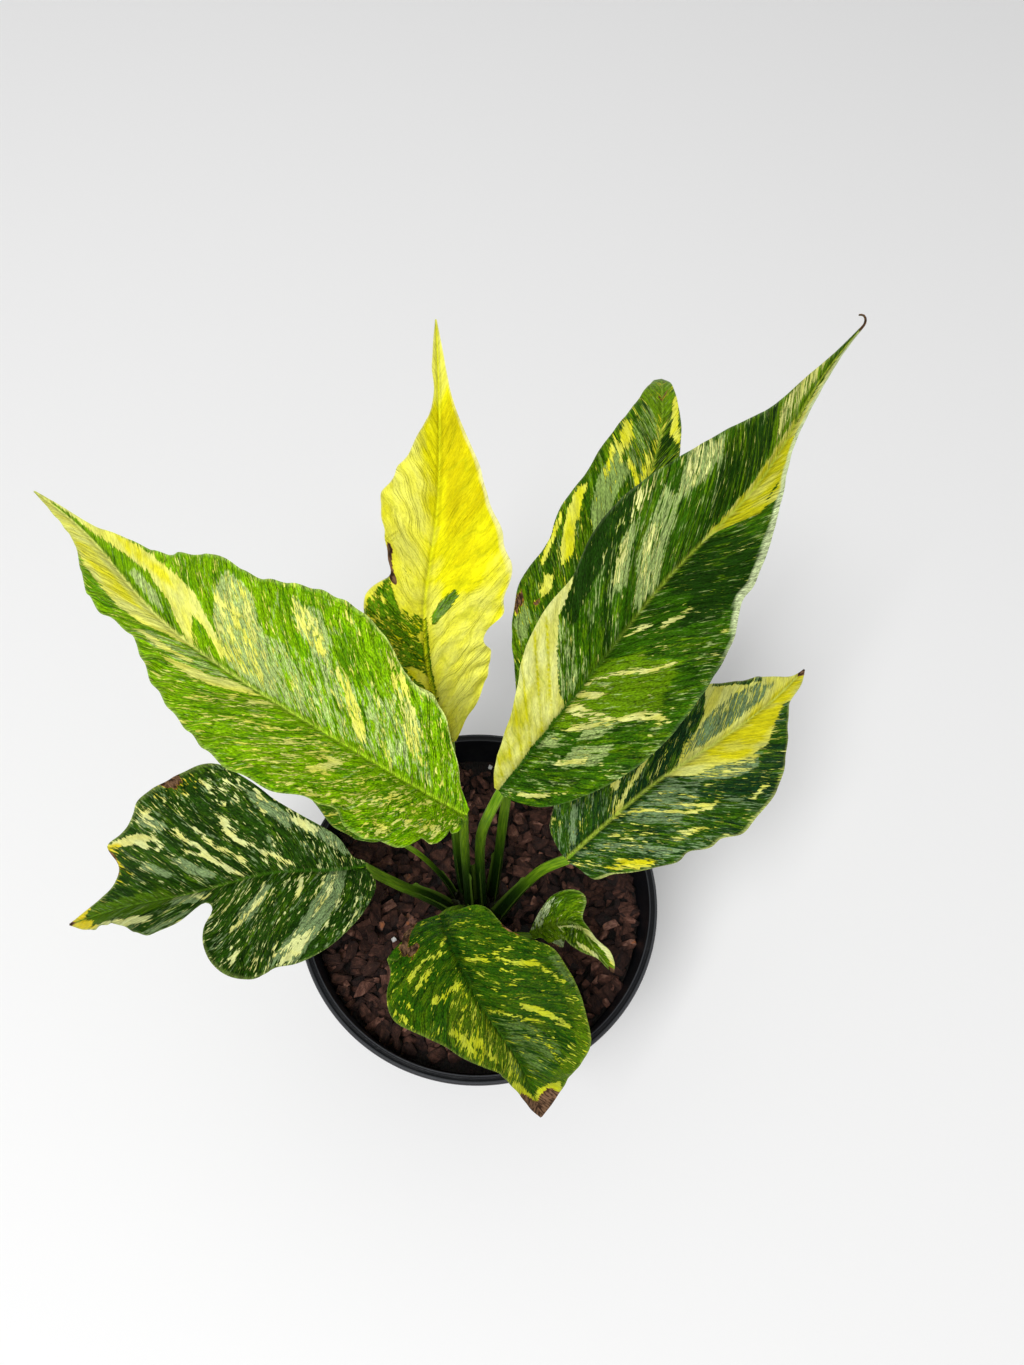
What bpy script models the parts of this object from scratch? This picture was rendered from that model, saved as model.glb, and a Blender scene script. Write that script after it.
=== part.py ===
"""A variegated peace lily growing in a black nursery pot, with bark mulch over its mix.

Sizes are in millimetres with +Z up, and become metres as each mesh is made. The origin
is the middle of the pot's floor, and +Y is the side that the plant's tallest leaf leans to.
A leaf is drawn flat, as a midrib length and two margins, and is then laid along its bent
midrib, folded there and curled towards its margins.
"""

import math
import random
from dataclasses import dataclass

import bmesh
import bpy
import numpy as np
from mathutils.bvhtree import BVHTree

MM = 0.001
GAP = 0.3  # left between two pieces that touch

POT_HEIGHT = 112.0
RIM_RADIUS = 65.0
RIM_WIDTH = 3.3
SKIRT_HEIGHT = 12.5
SKIRT_THICKNESS = 1.3
FOOT_RADIUS = 46.6
WALL = 1.1
FLOOR = 1.8
POT_SEGMENTS = 64
FLOOR_CORNER = 1.8  # how far the inside corner between wall and floor is filled
DRAIN_COUNT = 6
DRAIN_RADIUS = 4.0
DRAIN_CIRCLE = 31.0

MIX_TOP = 86.0
MIX_SEGMENTS = 48
BARK_TOP = 98.0
BARK_CHIP = 7.0
BARK_RELIEF = 1.6
BARK_TILT = 0.25  # steepest slope of a buried chip
BARK_FILL = 3.2  # buried chips, as a multiple of (pot radius / chip length) squared
BARK_SEGMENTS = 60
BARK_ROWS = 8
CHIP_THICKNESS = 1.9
CHIP_CORNERS = 7
CHIP_LAYERS = ((0.82, 0.0), (1.0, 0.5), (0.97, 1.3), (0.7, CHIP_THICKNESS))  # spread, rise
CHIP_PROBES = 8
LOOSE_CHIPS = (  # x, y, heading in degrees, length
    (37, 6, 35, 8.5), (44, -14, 100, 7.5), (27, 17, 160, 7.0), (-36, -27, 20, 8.0),
    (-22, -40, 75, 7.5), (-45, -8, 120, 7.0), (20, 38, 10, 8.0), (3, 45, 60, 7.0),
    (-30, 31, 140, 8.5), (33, -37, 50, 7.5),
)
CROWN_RADIUS = 12.0
CROWN_TOP = 97.0
CROWN_SEGMENTS = 24

BLADE_THICKNESS = 0.6
MIDRIB_DEPTH = 2.6
TIP_HALF_WIDTH = 0.25
VEIN_LEAN = 0.55  # how far a vein runs forward for each millimetre that it runs out
VEIN_ROWS = 20
VEIN_STEPS = (0.0, 0.1, 0.36, 0.68, 1.0)  # places along a vein, from midrib to margin
VEIN_BOW = (0.35, 0.6)  # how early a vein runs forward and out: 1 is a straight vein
VEIN_SPREAD = 0.1  # least share of even spacing between veins where a margin turns back
MIDRIB_STEPS = 400
STEM_RINGS = 11
STEM_SIDES = 10
STEM_STEPS = 100
STEM_TAPER = 0.14
SHEATH_SHARE = 0.45  # share of a stem, from its foot, that its sheath widens
CHANNEL = 0.6  # depth of a stem's channelled upper side, as a share of its radius

SHARP_ANGLE = math.radians(40)

BLACK_PLASTIC = ((0.012, 0.013, 0.015), 0.42)
DARK_MIX = ((0.02, 0.014, 0.01), 0.95)
BROWN_BARK = ((0.10, 0.045, 0.03), 0.85)
CROWN_GREEN = ((0.06, 0.11, 0.02), 0.6)
STEM_GREEN = ((0.06, 0.20, 0.015), 0.35)
BLADE_ROUGHNESS = 0.35


@dataclass
class Leaf:
    """One leaf: its bent midrib, its flat margins, and the stem that carries it.

    A margin's points are (along the midrib, out from it), from base to tip, and left is the
    left hand of someone who looks from the stem to the tip with the upper side facing up.
    Angles are in degrees, read evenly from base to tip; curl is in degrees per centimetre.
    """

    name: str
    colour: tuple
    midrib: list
    left: list
    right: list
    stem: list
    stem_radius: float
    sheath: float = 1.15
    roll: tuple = (0,)
    fold_left: tuple = (15,)
    fold_right: tuple = (15,)
    curl: tuple = (-3, -3)
    wave: tuple = (0.8, 4.0)  # height of the margin's ripple, and how many ripples it has


LEAVES = (
    Leaf(
        name="left_large",
        colour=(0.13, 0.36, 0.02),
        midrib=[(-4.5, -7, 204), (-15, -5.5, 213), (-39, 1.5, 226), (-77, 19.5, 233),
                (-95, 32, 233), (-120.5, 57, 230), (-145.5, 77, 224)],
        left=[(0, 1.8), (6, 10), (22, 24), (28, 26), (36, 23.5), (48, 27), (58, 29), (71, 25),
              (89, 18), (104, 10.5), (114, 12), (128, 10), (142, 5.5), (160, 2.5)],
        right=[(0, 1.8), (3, 4), (16, 16), (28, 24), (34, 24), (46, 30), (60, 33), (78, 30),
               (92, 25), (103, 24), (114, 18), (123, 12), (135, 7.5), (145, 3.5), (160, 1.5)],
        stem=[(-3.3, 0.6), (-4.3, -1, 135), (-5, -4, 172)],
        stem_radius=1.85,
        fold_left=(32, 34, 28, 22),
        fold_right=(20, 22, 20, 18),
        curl=(-4, -3),
    ),
    Leaf(
        name="centre_yellow",
        colour=(0.48, 0.50, 0.03),
        midrib=[(-13, 30.5, 172), (-20, 39.5, 191), (-23.5, 56.5, 217), (-22, 71.5, 232),
                (-23, 93, 249), (-27.5, 124.5, 262)],
        left=[(0, 1.7), (7, 5), (21, 11), (37, 18), (51, 20), (57, 17), (60, 12.5), (65, 14),
              (75, 17.5), (83, 18.5), (94, 11.5), (102, 7), (112, 2), (120, 2)],
        right=[(0, 1.7), (6, 7.5), (13, 13.5), (22, 18), (33, 19.5), (47, 21.5), (59, 26),
               (65, 25.5), (72, 23.5), (80, 18.5), (90, 13), (101, 8), (112, 4), (124, 2)],
        stem=[(-5.3, 4.8), (-7.4, 5.5, 120), (-9.6, 11, 146)],
        stem_radius=1.8,
        roll=(12,),
        fold_left=(26,),
        fold_right=(24,),
        curl=(-2, -2),
    ),
    Leaf(
        name="right_large",
        colour=(0.05, 0.20, 0.02),
        midrib=[(4, 2, 202), (15.5, 13.5, 220), (31, 31, 240), (46, 48.5, 255),
                (64, 67.5, 267), (79, 97, 273), (94, 122, 275)],
        left=[(0, 1.8), (5, 5), (16, 9), (28, 13.5), (38, 18), (55, 20.5), (63, 20), (72, 22.5),
              (84, 23.5), (97, 21.5), (110, 18.5), (122, 14), (132, 8.5), (148, 4), (162, 1.5)],
        right=[(0, 1.8), (5, 10), (13, 17), (30, 25), (46, 28), (64, 27.5), (79, 24), (86, 20),
               (93, 18.5), (107, 11.5), (118, 5.5), (130, 2.5), (152, 2.5), (163, 1.5)],
        stem=[(1.5, 0.6), (-0.1, 0.3, 135), (-0.6, -0.4, 168), (1.2, -0.6, 188)],
        stem_radius=1.85,
        roll=(5,),
        fold_left=(15, 15, 16, 20, 30),
        fold_right=(15, 15, 15, 40, 60),
    ),
    Leaf(
        name="back_right",
        colour=(0.07, 0.22, 0.02),
        midrib=[(7, 19.5, 182), (23.5, 54, 216), (32.5, 72, 233), (39.5, 88, 246),
                (41.5, 105, 251.5), (41.5, 118.5, 250), (42.5, 124, 243), (43, 124, 234)],
        left=[(0, 1.8), (10, 5), (23, 9), (36, 16), (48, 20.5), (56, 21.5), (68, 19), (77, 20),
              (92, 17.5), (104, 15), (112, 11.5), (120, 6.5), (131, 3), (142, 1.5)],
        right=[(0, 1.8), (12, 9), (28, 19), (48, 24), (68, 23), (88, 17), (103, 8.5), (113, 6),
               (121, 4.5), (131, 3), (142, 1.5)],
        stem=[(4.8, 5.0), (5.7, 9, 135), (6.2, 14, 160)],
        stem_radius=1.8,
        fold_left=(8, 8, 12, 30),
        fold_right=(10, 10, 20, 45),
        curl=(-2, -2),
    ),
    Leaf(
        name="right_low",
        colour=(0.06, 0.20, 0.03),
        midrib=[(27.5, 0, 157), (42.5, 12.5, 170), (54, 22, 176), (72.5, 36, 180),
                (93, 55.5, 179), (103.5, 68.5, 176)],
        left=[(0, 1.8), (3, 10), (10, 15.5), (22, 20), (40, 23.5), (58, 22), (73, 16.5),
              (84, 11), (92, 8), (101, 2)],
        right=[(0, 1.8), (3, 8), (10, 13.5), (17, 18), (27, 23), (40, 25.5), (52, 28.5),
               (64, 25), (75, 18.5), (86, 9), (92, 4.5), (101, 3)],
        stem=[(7.6, -2.2), (11, -2, 114), (16.2, 0, 130), (22.4, 0.8, 146)],
        stem_radius=2.0,
        sheath=1.3,
        roll=(10,),
        fold_left=(12,),
        fold_right=(12,),
    ),
    Leaf(
        name="left_low",
        colour=(0.05, 0.17, 0.03),
        midrib=[(-36.5, -8.5, 157), (-46, -12, 161), (-64, -15, 162), (-86.5, -21.5, 157),
                (-109.5, -25.5, 148), (-133, -30, 134)],
        left=[(0, 1.8), (-1, 7), (3, 13.5), (12, 24), (19, 29.5), (31, 32), (41, 33), (47, 29),
              (50, 20), (49.5, 13), (48.5, 8.5), (50.5, 6), (54, 9), (60, 15.5), (66, 17),
              (75, 12), (86, 8), (95, 5.5)],
        right=[(0, 1.8), (4, 3.5), (8, 9), (22, 18), (31, 27), (38, 36.5), (44, 38), (56, 36),
               (66, 32), (73, 24), (80, 20.5), (79, 15.5), (79.5, 11), (83, 7.5), (90, 4.5)],
        stem=[(-9, -3), (-16.5, -5, 118), (-25, -7, 134)],
        stem_radius=2.0,
        sheath=1.3,
        fold_left=(14, 10, 45, 25),
        fold_right=(20, 28, 40, 40),
    ),
    Leaf(
        name="front",
        colour=(0.05, 0.20, 0.01),
        midrib=[(-10.5, -22, 157), (-7.5, -30, 161), (-1.5, -40, 160), (6, -49.5, 153),
                (16.5, -59, 140), (27, -73.5, 118)],
        left=[(0, 1.8), (2, 6), (6, 14), (13, 16.5), (20, 21), (25, 26.5), (31, 28), (46, 27.5),
              (56, 25), (63, 21.5), (68, 14.5), (74, 9), (79, 4)],
        right=[(0, 1.8), (2, 7), (7, 13.5), (12, 17.5), (11, 20.5), (13, 20.5), (16, 23.5),
               (21, 26.5), (25, 24.5), (32, 18.5), (41, 14), (52, 9), (63, 6), (75, 3.3)],
        stem=[(-2.6, -5.6), (-4, -8.5, 118), (-7.5, -14.5, 140)],
        stem_radius=1.7,
        roll=(10,),
        fold_left=(12,),
        fold_right=(20, 35, 35, 35),
    ),
    Leaf(
        name="small_front",
        colour=(0.12, 0.26, 0.03),
        midrib=[(19.5, -16, 122), (25.5, -14, 128), (34, -13.5, 132), (38.5, -19, 133),
                (47.5, -28, 129)],
        left=[(0, 1.2), (4, 3.5), (10, 8), (16, 12.5), (18, 12.5), (19, 10), (19.2, 6),
              (20, 2.8), (24, 3.2), (30, 5.2), (35, 4)],
        right=[(0, 1.2), (5, 3), (8, 6.5), (15, 9.5), (21, 8.5), (26, 7), (31, 2), (35, 1)],
        stem=[(5.2, -7.4), (9, -10.5, 104), (14, -14, 114)],
        stem_radius=1.2,
        roll=(10,),
        fold_left=(30, 35, 60, 50),
        fold_right=(20, 30, 40, 40),
        wave=(0.3, 3.0),
    ),
    Leaf(
        name="hidden_small",
        colour=(0.06, 0.22, 0.02),
        midrib=[(-29, 2, 158), (-38, 5, 167), (-50, 9, 173), (-63, 14, 174)],
        left=[(0, 1.2), (6, 6), (14, 9.5), (22, 9), (32, 4)],
        right=[(0, 1.2), (6, 6), (14, 9.5), (22, 9), (32, 4)],
        stem=[(-9.3, 3.2), (-11.4, 3.0, 110), (-17.6, 2.6, 133), (-22.5, 2, 146)],
        stem_radius=1.0,
        wave=(0.3, 3.0),
    ),
)


def clear_scene():
    """Remove every object of the scene."""
    for item in list(bpy.data.objects):
        bpy.data.objects.remove(item, do_unlink=True)


def finish(name, colour, roughness):
    """A plain Principled material."""
    material = bpy.data.materials.new(name)
    material.use_nodes = True
    shader = material.node_tree.nodes["Principled BSDF"]
    shader.inputs["Base Color"].default_value = (*colour, 1.0)
    shader.inputs["Roughness"].default_value = roughness
    shader.inputs["Metallic"].default_value = 0.0
    return material


def add_piece(name, points, faces, colour, roughness):
    """Make one named object from points in millimetres, with a material of its own."""
    mesh = bpy.data.meshes.new(name)
    mesh.from_pydata([tuple(float(MM * value) for value in point) for point in points], [], faces)
    shape = bmesh.new()
    shape.from_mesh(mesh)
    bmesh.ops.recalc_face_normals(shape, faces=shape.faces)
    shape.to_mesh(mesh)
    shape.free()
    mesh.materials.append(finish(f"{name}_finish", colour, roughness))
    mesh.shade_smooth()
    mesh.set_sharp_from_angle(angle=SHARP_ANGLE)
    piece = bpy.data.objects.new(name, mesh)
    bpy.context.collection.objects.link(piece)
    return piece


def loft(rings):
    """Points and faces of the closed body through equal rings, capped at both ends."""
    count, sides = rings.shape[:2]
    faces = [
        (row * sides + i, row * sides + (i + 1) % sides,
         (row + 1) * sides + (i + 1) % sides, (row + 1) * sides + i)
        for row in range(count - 1)
        for i in range(sides)
    ]
    faces.append(tuple(range(sides)))
    faces.append(tuple((count - 1) * sides + i for i in range(sides)))
    return rings.reshape(-1, 3), faces


def turn(profile, segments):
    """Points and faces of a profile of (radius, height) turned about Z, from axis to axis."""
    middle = profile[1:-1]
    points = [(0, 0, profile[0][1]), (0, 0, profile[-1][1])]
    for radius, height in middle:
        for step in range(segments):
            angle = math.tau * step / segments
            points.append((radius * math.cos(angle), radius * math.sin(angle), height))
    faces = []
    last = 2 + (len(middle) - 1) * segments
    for step in range(segments):
        following = (step + 1) % segments
        faces.append((0, 2 + following, 2 + step))
        faces.append((1, last + step, last + following))
        for row in range(len(middle) - 1):
            near, far = 2 + row * segments, 2 + (row + 1) * segments
            faces.append((near + step, near + following, far + following, far + step))
    return points, faces


def unit(vectors):
    """Vectors scaled to length one."""
    return vectors / np.linalg.norm(vectors, axis=-1, keepdims=True)


def spline(knots, values, places):
    """Read a natural cubic spline through values, one row to a knot, at the places given."""
    knots, values = np.asarray(knots, float), np.asarray(values, float)
    step = np.diff(knots)[:, None]
    slope = np.diff(values, axis=0) / step
    system = np.eye(len(knots))
    bend = np.zeros_like(values)
    for i in range(1, len(knots) - 1):
        system[i, i - 1:i + 2] = step[i - 1, 0], 2 * (step[i - 1, 0] + step[i, 0]), step[i, 0]
        bend[i] = 3 * (slope[i] - slope[i - 1])
    bend = np.linalg.solve(system, bend)
    cell = np.clip(np.searchsorted(knots, places, side="right") - 1, 0, len(knots) - 2)
    along = (np.asarray(places) - knots[cell])[:, None]
    rise = slope[cell] - step[cell] * (2 * bend[cell] + bend[cell + 1]) / 3
    turning = (bend[cell + 1] - bend[cell]) / (3 * step[cell])
    return values[cell] + along * (rise + along * (bend[cell] + along * turning))


def walked(line):
    """Distance walked along a line of points, at each of them."""
    return np.concatenate(([0.0], np.cumsum(np.linalg.norm(np.diff(line, axis=0), axis=1))))


def smooth_line(points, count, power=1.0):
    """A smooth line of count points through the given ones; power 0.5 keeps corners tight."""
    points = np.asarray(points, float)
    knots = np.concatenate(([0.0], np.cumsum(
        np.linalg.norm(np.diff(points, axis=0), axis=1) ** power)))
    return spline(knots, points, np.linspace(0, knots[-1], count))


class Blade:
    """A leaf's blade: places of the flat outline, laid on the bent and folded leaf."""

    def __init__(self, leaf):
        self.leaf = leaf
        self.line = smooth_line(leaf.midrib, MIDRIB_STEPS)
        self.distance = walked(self.line)
        self.length = self.distance[-1]
        self.heading = unit(np.gradient(self.line, self.distance, axis=0))

    def angle(self, values, along):
        """An angle in radians, read evenly from base to tip."""
        places = np.linspace(0, self.length, len(values))
        return np.radians(np.interp(along, places, values))

    def place(self, along, out, lift):
        """Points in space: along the midrib, out to the left (+) or right (-), and lifted."""
        centre = np.stack([np.interp(along, self.distance, axis) for axis in self.line.T], -1)
        heading = unit(
            np.stack([np.interp(along, self.distance, axis) for axis in self.heading.T], -1))
        beyond = along - np.clip(along, 0, self.length)
        centre = centre + beyond[..., None] * heading
        level = unit(np.cross((0.0, 0.0, 1.0), heading))
        roll = self.angle(self.leaf.roll, along)[..., None]
        left = np.cos(roll) * level + np.sin(roll) * np.cross(heading, level)
        upper = np.cross(heading, left)
        side = np.where(out < 0, -1.0, 1.0)
        reach = np.abs(out)
        fold = np.where(out < 0, self.angle(self.leaf.fold_right, along),
                        self.angle(self.leaf.fold_left, along))
        curl = np.radians(np.where(out < 0, self.leaf.curl[1], self.leaf.curl[0])) / 10
        turned = fold + curl * reach
        level_reach = (np.sin(turned) - np.sin(fold)) / curl - lift * np.sin(turned)
        height = (np.cos(fold) - np.cos(turned)) / curl + lift * np.cos(turned)
        return centre + left * (side * level_reach)[..., None] + upper * height[..., None]

    def margin(self, points):
        """A margin drawn smoothly to the tip, and where the vein to each of its points starts."""
        line = smooth_line([*points, (self.length, TIP_HALF_WIDTH)], MIDRIB_STEPS, power=0.5)
        share = walked(line) / walked(line)[-1]
        start = np.clip(line[:, 0] - VEIN_LEAN * line[:, 1], 0, self.length)
        start = (1 - VEIN_SPREAD) * np.maximum.accumulate(start) + VEIN_SPREAD * self.length * share
        return line, share, start * self.length / start[-1]

    def veins(self, count):
        """Where each of count veins starts, and where it meets the left and right margins."""
        sides = [self.margin(self.leaf.left), self.margin(self.leaf.right)]
        fine = np.linspace(0, self.length, MIDRIB_STEPS)
        even = fine / self.length + sum(np.interp(fine, start, share) for _, share, start in sides)
        starts = np.interp(np.linspace(0, even[-1], count), even, fine)
        ends = [
            np.stack([np.interp(starts, start, axis) for axis in line.T], -1)
            for line, _, start in sides
        ]
        return starts, ends

    def rings(self):
        """Closed cross-sections that follow the veins, from base to tip."""
        starts, ends = self.veins(VEIN_ROWS)
        height, count = self.leaf.wave
        rings = []
        for row, start in enumerate(starts):
            upper, lower = [], []
            depth = MIDRIB_DEPTH + (BLADE_THICKNESS - MIDRIB_DEPTH) * math.sqrt(start / self.length)
            for side, end in ((1, ends[0][row]), (-1, ends[1][row])):
                steps = VEIN_STEPS[::-1] if side == 1 else VEIN_STEPS[1:]
                for step in steps:
                    bow = 2 * step * (1 - step)
                    along = start + (end[0] - start) * (VEIN_BOW[0] * bow + step * step)
                    out = side * end[1] * (VEIN_BOW[1] * bow + step * step)
                    ripple = math.sin(math.tau * count * along / self.length + side)
                    lift = height * step * step * min(1.0, end[1] / 10) * ripple
                    thick = depth if step == 0 else BLADE_THICKNESS
                    upper.append((along, out, lift))
                    lower.append((along, out, lift - thick))
            flat = np.array(upper + lower[::-1])
            rings.append(self.place(flat[:, 0], flat[:, 1], flat[:, 2]))
        return np.array(rings)


def stem_rings(leaf, blade):
    """Cross-sections of a leaf's stem, from the crown to just under its blade."""
    root = np.array((*leaf.stem[0], CROWN_TOP + GAP))
    heading = blade.heading[0]
    across = unit(np.cross((0.0, 0.0, 1.0), heading))
    under = blade.line[0] - 0.5 * MIDRIB_DEPTH * np.cross(heading, across)
    line = smooth_line([root, *leaf.stem[1:], under - GAP * heading], STEM_STEPS)
    headings = unit(np.gradient(line, walked(line), axis=0))
    headings[-1] = heading
    rings = []
    for share in np.linspace(0, 1, STEM_RINGS):
        at = round(share * (len(line) - 1))
        left = unit(across - np.dot(across, headings[at]) * headings[at])
        upper = np.cross(headings[at], left)
        swell = 1 + (leaf.sheath - 1) * math.sqrt(max(0.0, 1 - share / SHEATH_SHARE))
        radius = leaf.stem_radius * (1 - STEM_TAPER * share)
        turns = math.tau * np.arange(STEM_SIDES) / STEM_SIDES
        wide = radius * swell * np.cos(turns)
        deep = radius * np.sin(turns) * np.where(np.sin(turns) > 0.5, CHANNEL, 1.0)
        rings.append(line[at] + np.outer(wide, left) + np.outer(deep, upper))
    rings[0][:, 2] = root[2]
    return np.array(rings)


def add_leaf(leaf):
    """Add a leaf's blade and stem."""
    blade = Blade(leaf)
    add_piece(f"{leaf.name}_blade", *loft(blade.rings()), leaf.colour, BLADE_ROUGHNESS)
    add_piece(f"{leaf.name}_stem", *loft(stem_rings(leaf, blade)), *STEM_GREEN)


def wall_radius(height):
    """Outer radius of the pot's tapered wall at a height."""
    top = RIM_RADIUS - RIM_WIDTH + WALL
    return FOOT_RADIUS + (top - FOOT_RADIUS) * height / POT_HEIGHT


def add_pot():
    """Add the pot: tapered wall, floor with drain holes, and a rim with a turned-down skirt."""
    skirt_foot = POT_HEIGHT - SKIRT_HEIGHT
    groove_top = POT_HEIGHT - 2.0
    skirt_inside = RIM_RADIUS - SKIRT_THICKNESS
    profile = [
        (0, 0), (FOOT_RADIUS - 2.0, 0), (FOOT_RADIUS - 0.5, 0.6), (wall_radius(2.2), 2.2),
        (wall_radius(groove_top), groove_top), (skirt_inside, groove_top),
        (skirt_inside - 0.3, skirt_foot), (RIM_RADIUS - 0.6, skirt_foot),
        (RIM_RADIUS, POT_HEIGHT - 1.4), (RIM_RADIUS - 0.3, POT_HEIGHT - 0.4),
        (RIM_RADIUS - 0.9, POT_HEIGHT), (RIM_RADIUS - 1.7, POT_HEIGHT),
        (RIM_RADIUS - 2.0, POT_HEIGHT - 0.4), (RIM_RADIUS - RIM_WIDTH + 0.5, POT_HEIGHT - 0.4),
        (RIM_RADIUS - RIM_WIDTH, POT_HEIGHT - 1.0),
        (wall_radius(FLOOR + 2) - WALL, FLOOR + 2),
        (wall_radius(FLOOR) - WALL - FLOOR_CORNER, FLOOR),
        (0, FLOOR),
    ]
    pot = add_piece("pot", *turn(profile, POT_SEGMENTS), *BLACK_PLASTIC)
    for i in range(DRAIN_COUNT):
        bpy.ops.mesh.primitive_cylinder_add(vertices=20, radius=DRAIN_RADIUS * MM, depth=6 * MM)
        cutter = bpy.context.object
        turned = math.tau * (i + 0.5) / DRAIN_COUNT
        cutter.name = f"drain_cutter_{i}"
        cutter.location = (
            DRAIN_CIRCLE * MM * math.cos(turned), DRAIN_CIRCLE * MM * math.sin(turned), 0.0)
        cutter.hide_render = True
        cutter.display_type = "WIRE"
        cut = pot.modifiers.new(f"drain_{i}", "BOOLEAN")
        cut.object = cutter
        cut.operation = "DIFFERENCE"
        cut.solver = "MANIFOLD"


def add_potting_mix():
    """Add the potting mix that fills the pot under the mulch."""
    floor = FLOOR + GAP
    clear = WALL + GAP
    profile = [
        (0, floor), (wall_radius(FLOOR) - clear - FLOOR_CORNER, floor),
        (wall_radius(FLOOR + 2) - clear, FLOOR + 2.2), (wall_radius(MIX_TOP) - clear, MIX_TOP),
        (0, MIX_TOP),
    ]
    add_piece("potting_mix", *turn(profile, MIX_SEGMENTS), *DARK_MIX)


def add_crown():
    """Add the crown, the short rootstock that the stems rise from."""
    foot = MIX_TOP + GAP
    profile = [
        (0, foot), (CROWN_RADIUS - 1, foot), (CROWN_RADIUS, foot + 2),
        (CROWN_RADIUS, CROWN_TOP - 1.5), (CROWN_RADIUS - 0.8, CROWN_TOP), (0, CROWN_TOP),
    ]
    add_piece("crown", *turn(profile, CROWN_SEGMENTS), *CROWN_GREEN)


def bark_facets():
    """The mulch's buried chips, each as its place, its rise and its slopes along X and Y."""
    dice = random.Random(5)
    reach = wall_radius(BARK_TOP)
    facets = []
    for _ in range(round(BARK_FILL * (reach / BARK_CHIP) ** 2)):
        place = (dice.uniform(-reach, reach), dice.uniform(-reach, reach))
        rise = dice.uniform(-BARK_RELIEF, BARK_RELIEF)
        slope = (dice.uniform(-BARK_TILT, BARK_TILT), dice.uniform(-BARK_TILT, BARK_TILT))
        facets.append((*place, rise, *slope))
    return facets


def bark_height(x, y, facets):
    """Height of the mulch's top, where the nearest buried chip is a tilted flat facet."""
    chip = min(facets, key=lambda item: math.hypot(x - item[0], y - item[1]))
    return BARK_TOP + chip[2] + chip[3] * (x - chip[0]) + chip[4] * (y - chip[1])


def add_bark():
    """Add the mulch, a ring of bark with chips standing up from it, and return its surface."""
    facets = bark_facets()
    inner, outer = CROWN_RADIUS + GAP, wall_radius(BARK_TOP) - WALL - GAP
    foot = MIX_TOP + GAP
    under = wall_radius(foot) - WALL - GAP
    rings = []
    for segment in range(BARK_SEGMENTS):
        turned = math.tau * segment / BARK_SEGMENTS
        ring = []
        for row in range(BARK_ROWS + 1):
            radius = inner + (outer - inner) * row / BARK_ROWS
            x, y = radius * math.cos(turned), radius * math.sin(turned)
            ring.append((x, y, bark_height(x, y, facets)))
        ring.append((under * math.cos(turned), under * math.sin(turned), foot))
        ring.append((inner * math.cos(turned), inner * math.sin(turned), foot))
        rings.append(ring)
    sides = len(rings[0])
    points = [point for ring in rings for point in ring]
    faces = []
    for segment in range(BARK_SEGMENTS):
        near, far = segment * sides, (segment + 1) % BARK_SEGMENTS * sides
        for i in range(sides):
            following = (i + 1) % sides
            faces.append((near + i, near + following, far + following))
            faces.append((near + i, far + following, far + i))
    add_piece("bark_mulch", points, faces, *BROWN_BARK)
    return BVHTree.FromPolygons(points, faces)


def chip_outline(x, y, turned, length, dice):
    """The outline of a chip of bark as seen from above."""
    heading = math.radians(turned)
    width = length * dice.uniform(0.5, 0.65)
    outline = []
    for corner in range(CHIP_CORNERS):
        angle = math.tau * (corner + dice.uniform(-0.25, 0.25)) / CHIP_CORNERS
        along, across = 0.5 * length * math.cos(angle), 0.5 * width * math.sin(angle)
        outline.append((x + along * math.cos(heading) - across * math.sin(heading),
                        y + along * math.sin(heading) + across * math.cos(heading)))
    return outline


def add_loose_chips(surface):
    """Add the larger chips that lie loose on the mulch, each just clear of its highest point."""
    dice = random.Random(11)
    for number, (x, y, turned, length) in enumerate(LOOSE_CHIPS, 1):
        outline = chip_outline(x, y, turned, length, dice)
        highest = 0.0
        for (u, v), (next_u, next_v) in zip(outline, outline[1:] + outline[:1]):
            for part in np.linspace(0, 1, CHIP_PROBES):
                for scale in np.linspace(0, 1, CHIP_PROBES):
                    place = (x + scale * (u + part * (next_u - u) - x),
                             y + scale * (v + part * (next_v - v) - y), POT_HEIGHT)
                    highest = max(highest, surface.ray_cast(place, (0, 0, -1))[0].z)
        foot = highest + GAP
        rings = np.array([
            [(x + scale * (u - x), y + scale * (v - y), foot + rise) for u, v in outline]
            for scale, rise in CHIP_LAYERS
        ])
        add_piece(f"bark_chip_{number}", *loft(rings), *BROWN_BARK)


def main():
    """Build the pot, what fills it, and the plant."""
    clear_scene()
    add_pot()
    add_potting_mix()
    add_loose_chips(add_bark())
    add_crown()
    for leaf in LEAVES:
        add_leaf(leaf)


main()
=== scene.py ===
"""A variegated peace lily in a black nursery pot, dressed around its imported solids.

Sizes are in millimetres in the plant's own frame, with +Z up and the origin under the
middle of the pot's floor. They become metres as each mesh is made. A leaf is drawn flat
and laid along its bent midrib. Its tissues are painted in vein coordinates: where a vein
leaves the midrib, counted from the blade's foot, and how far out along it a place lies,
with the left half of the blade positive and the right half negative.
"""

import logging
import math
import random
from dataclasses import dataclass, field
from enum import Enum
from functools import partial

import bmesh
import bpy
import numpy as np
from mathutils import Matrix, Vector, noise


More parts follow.
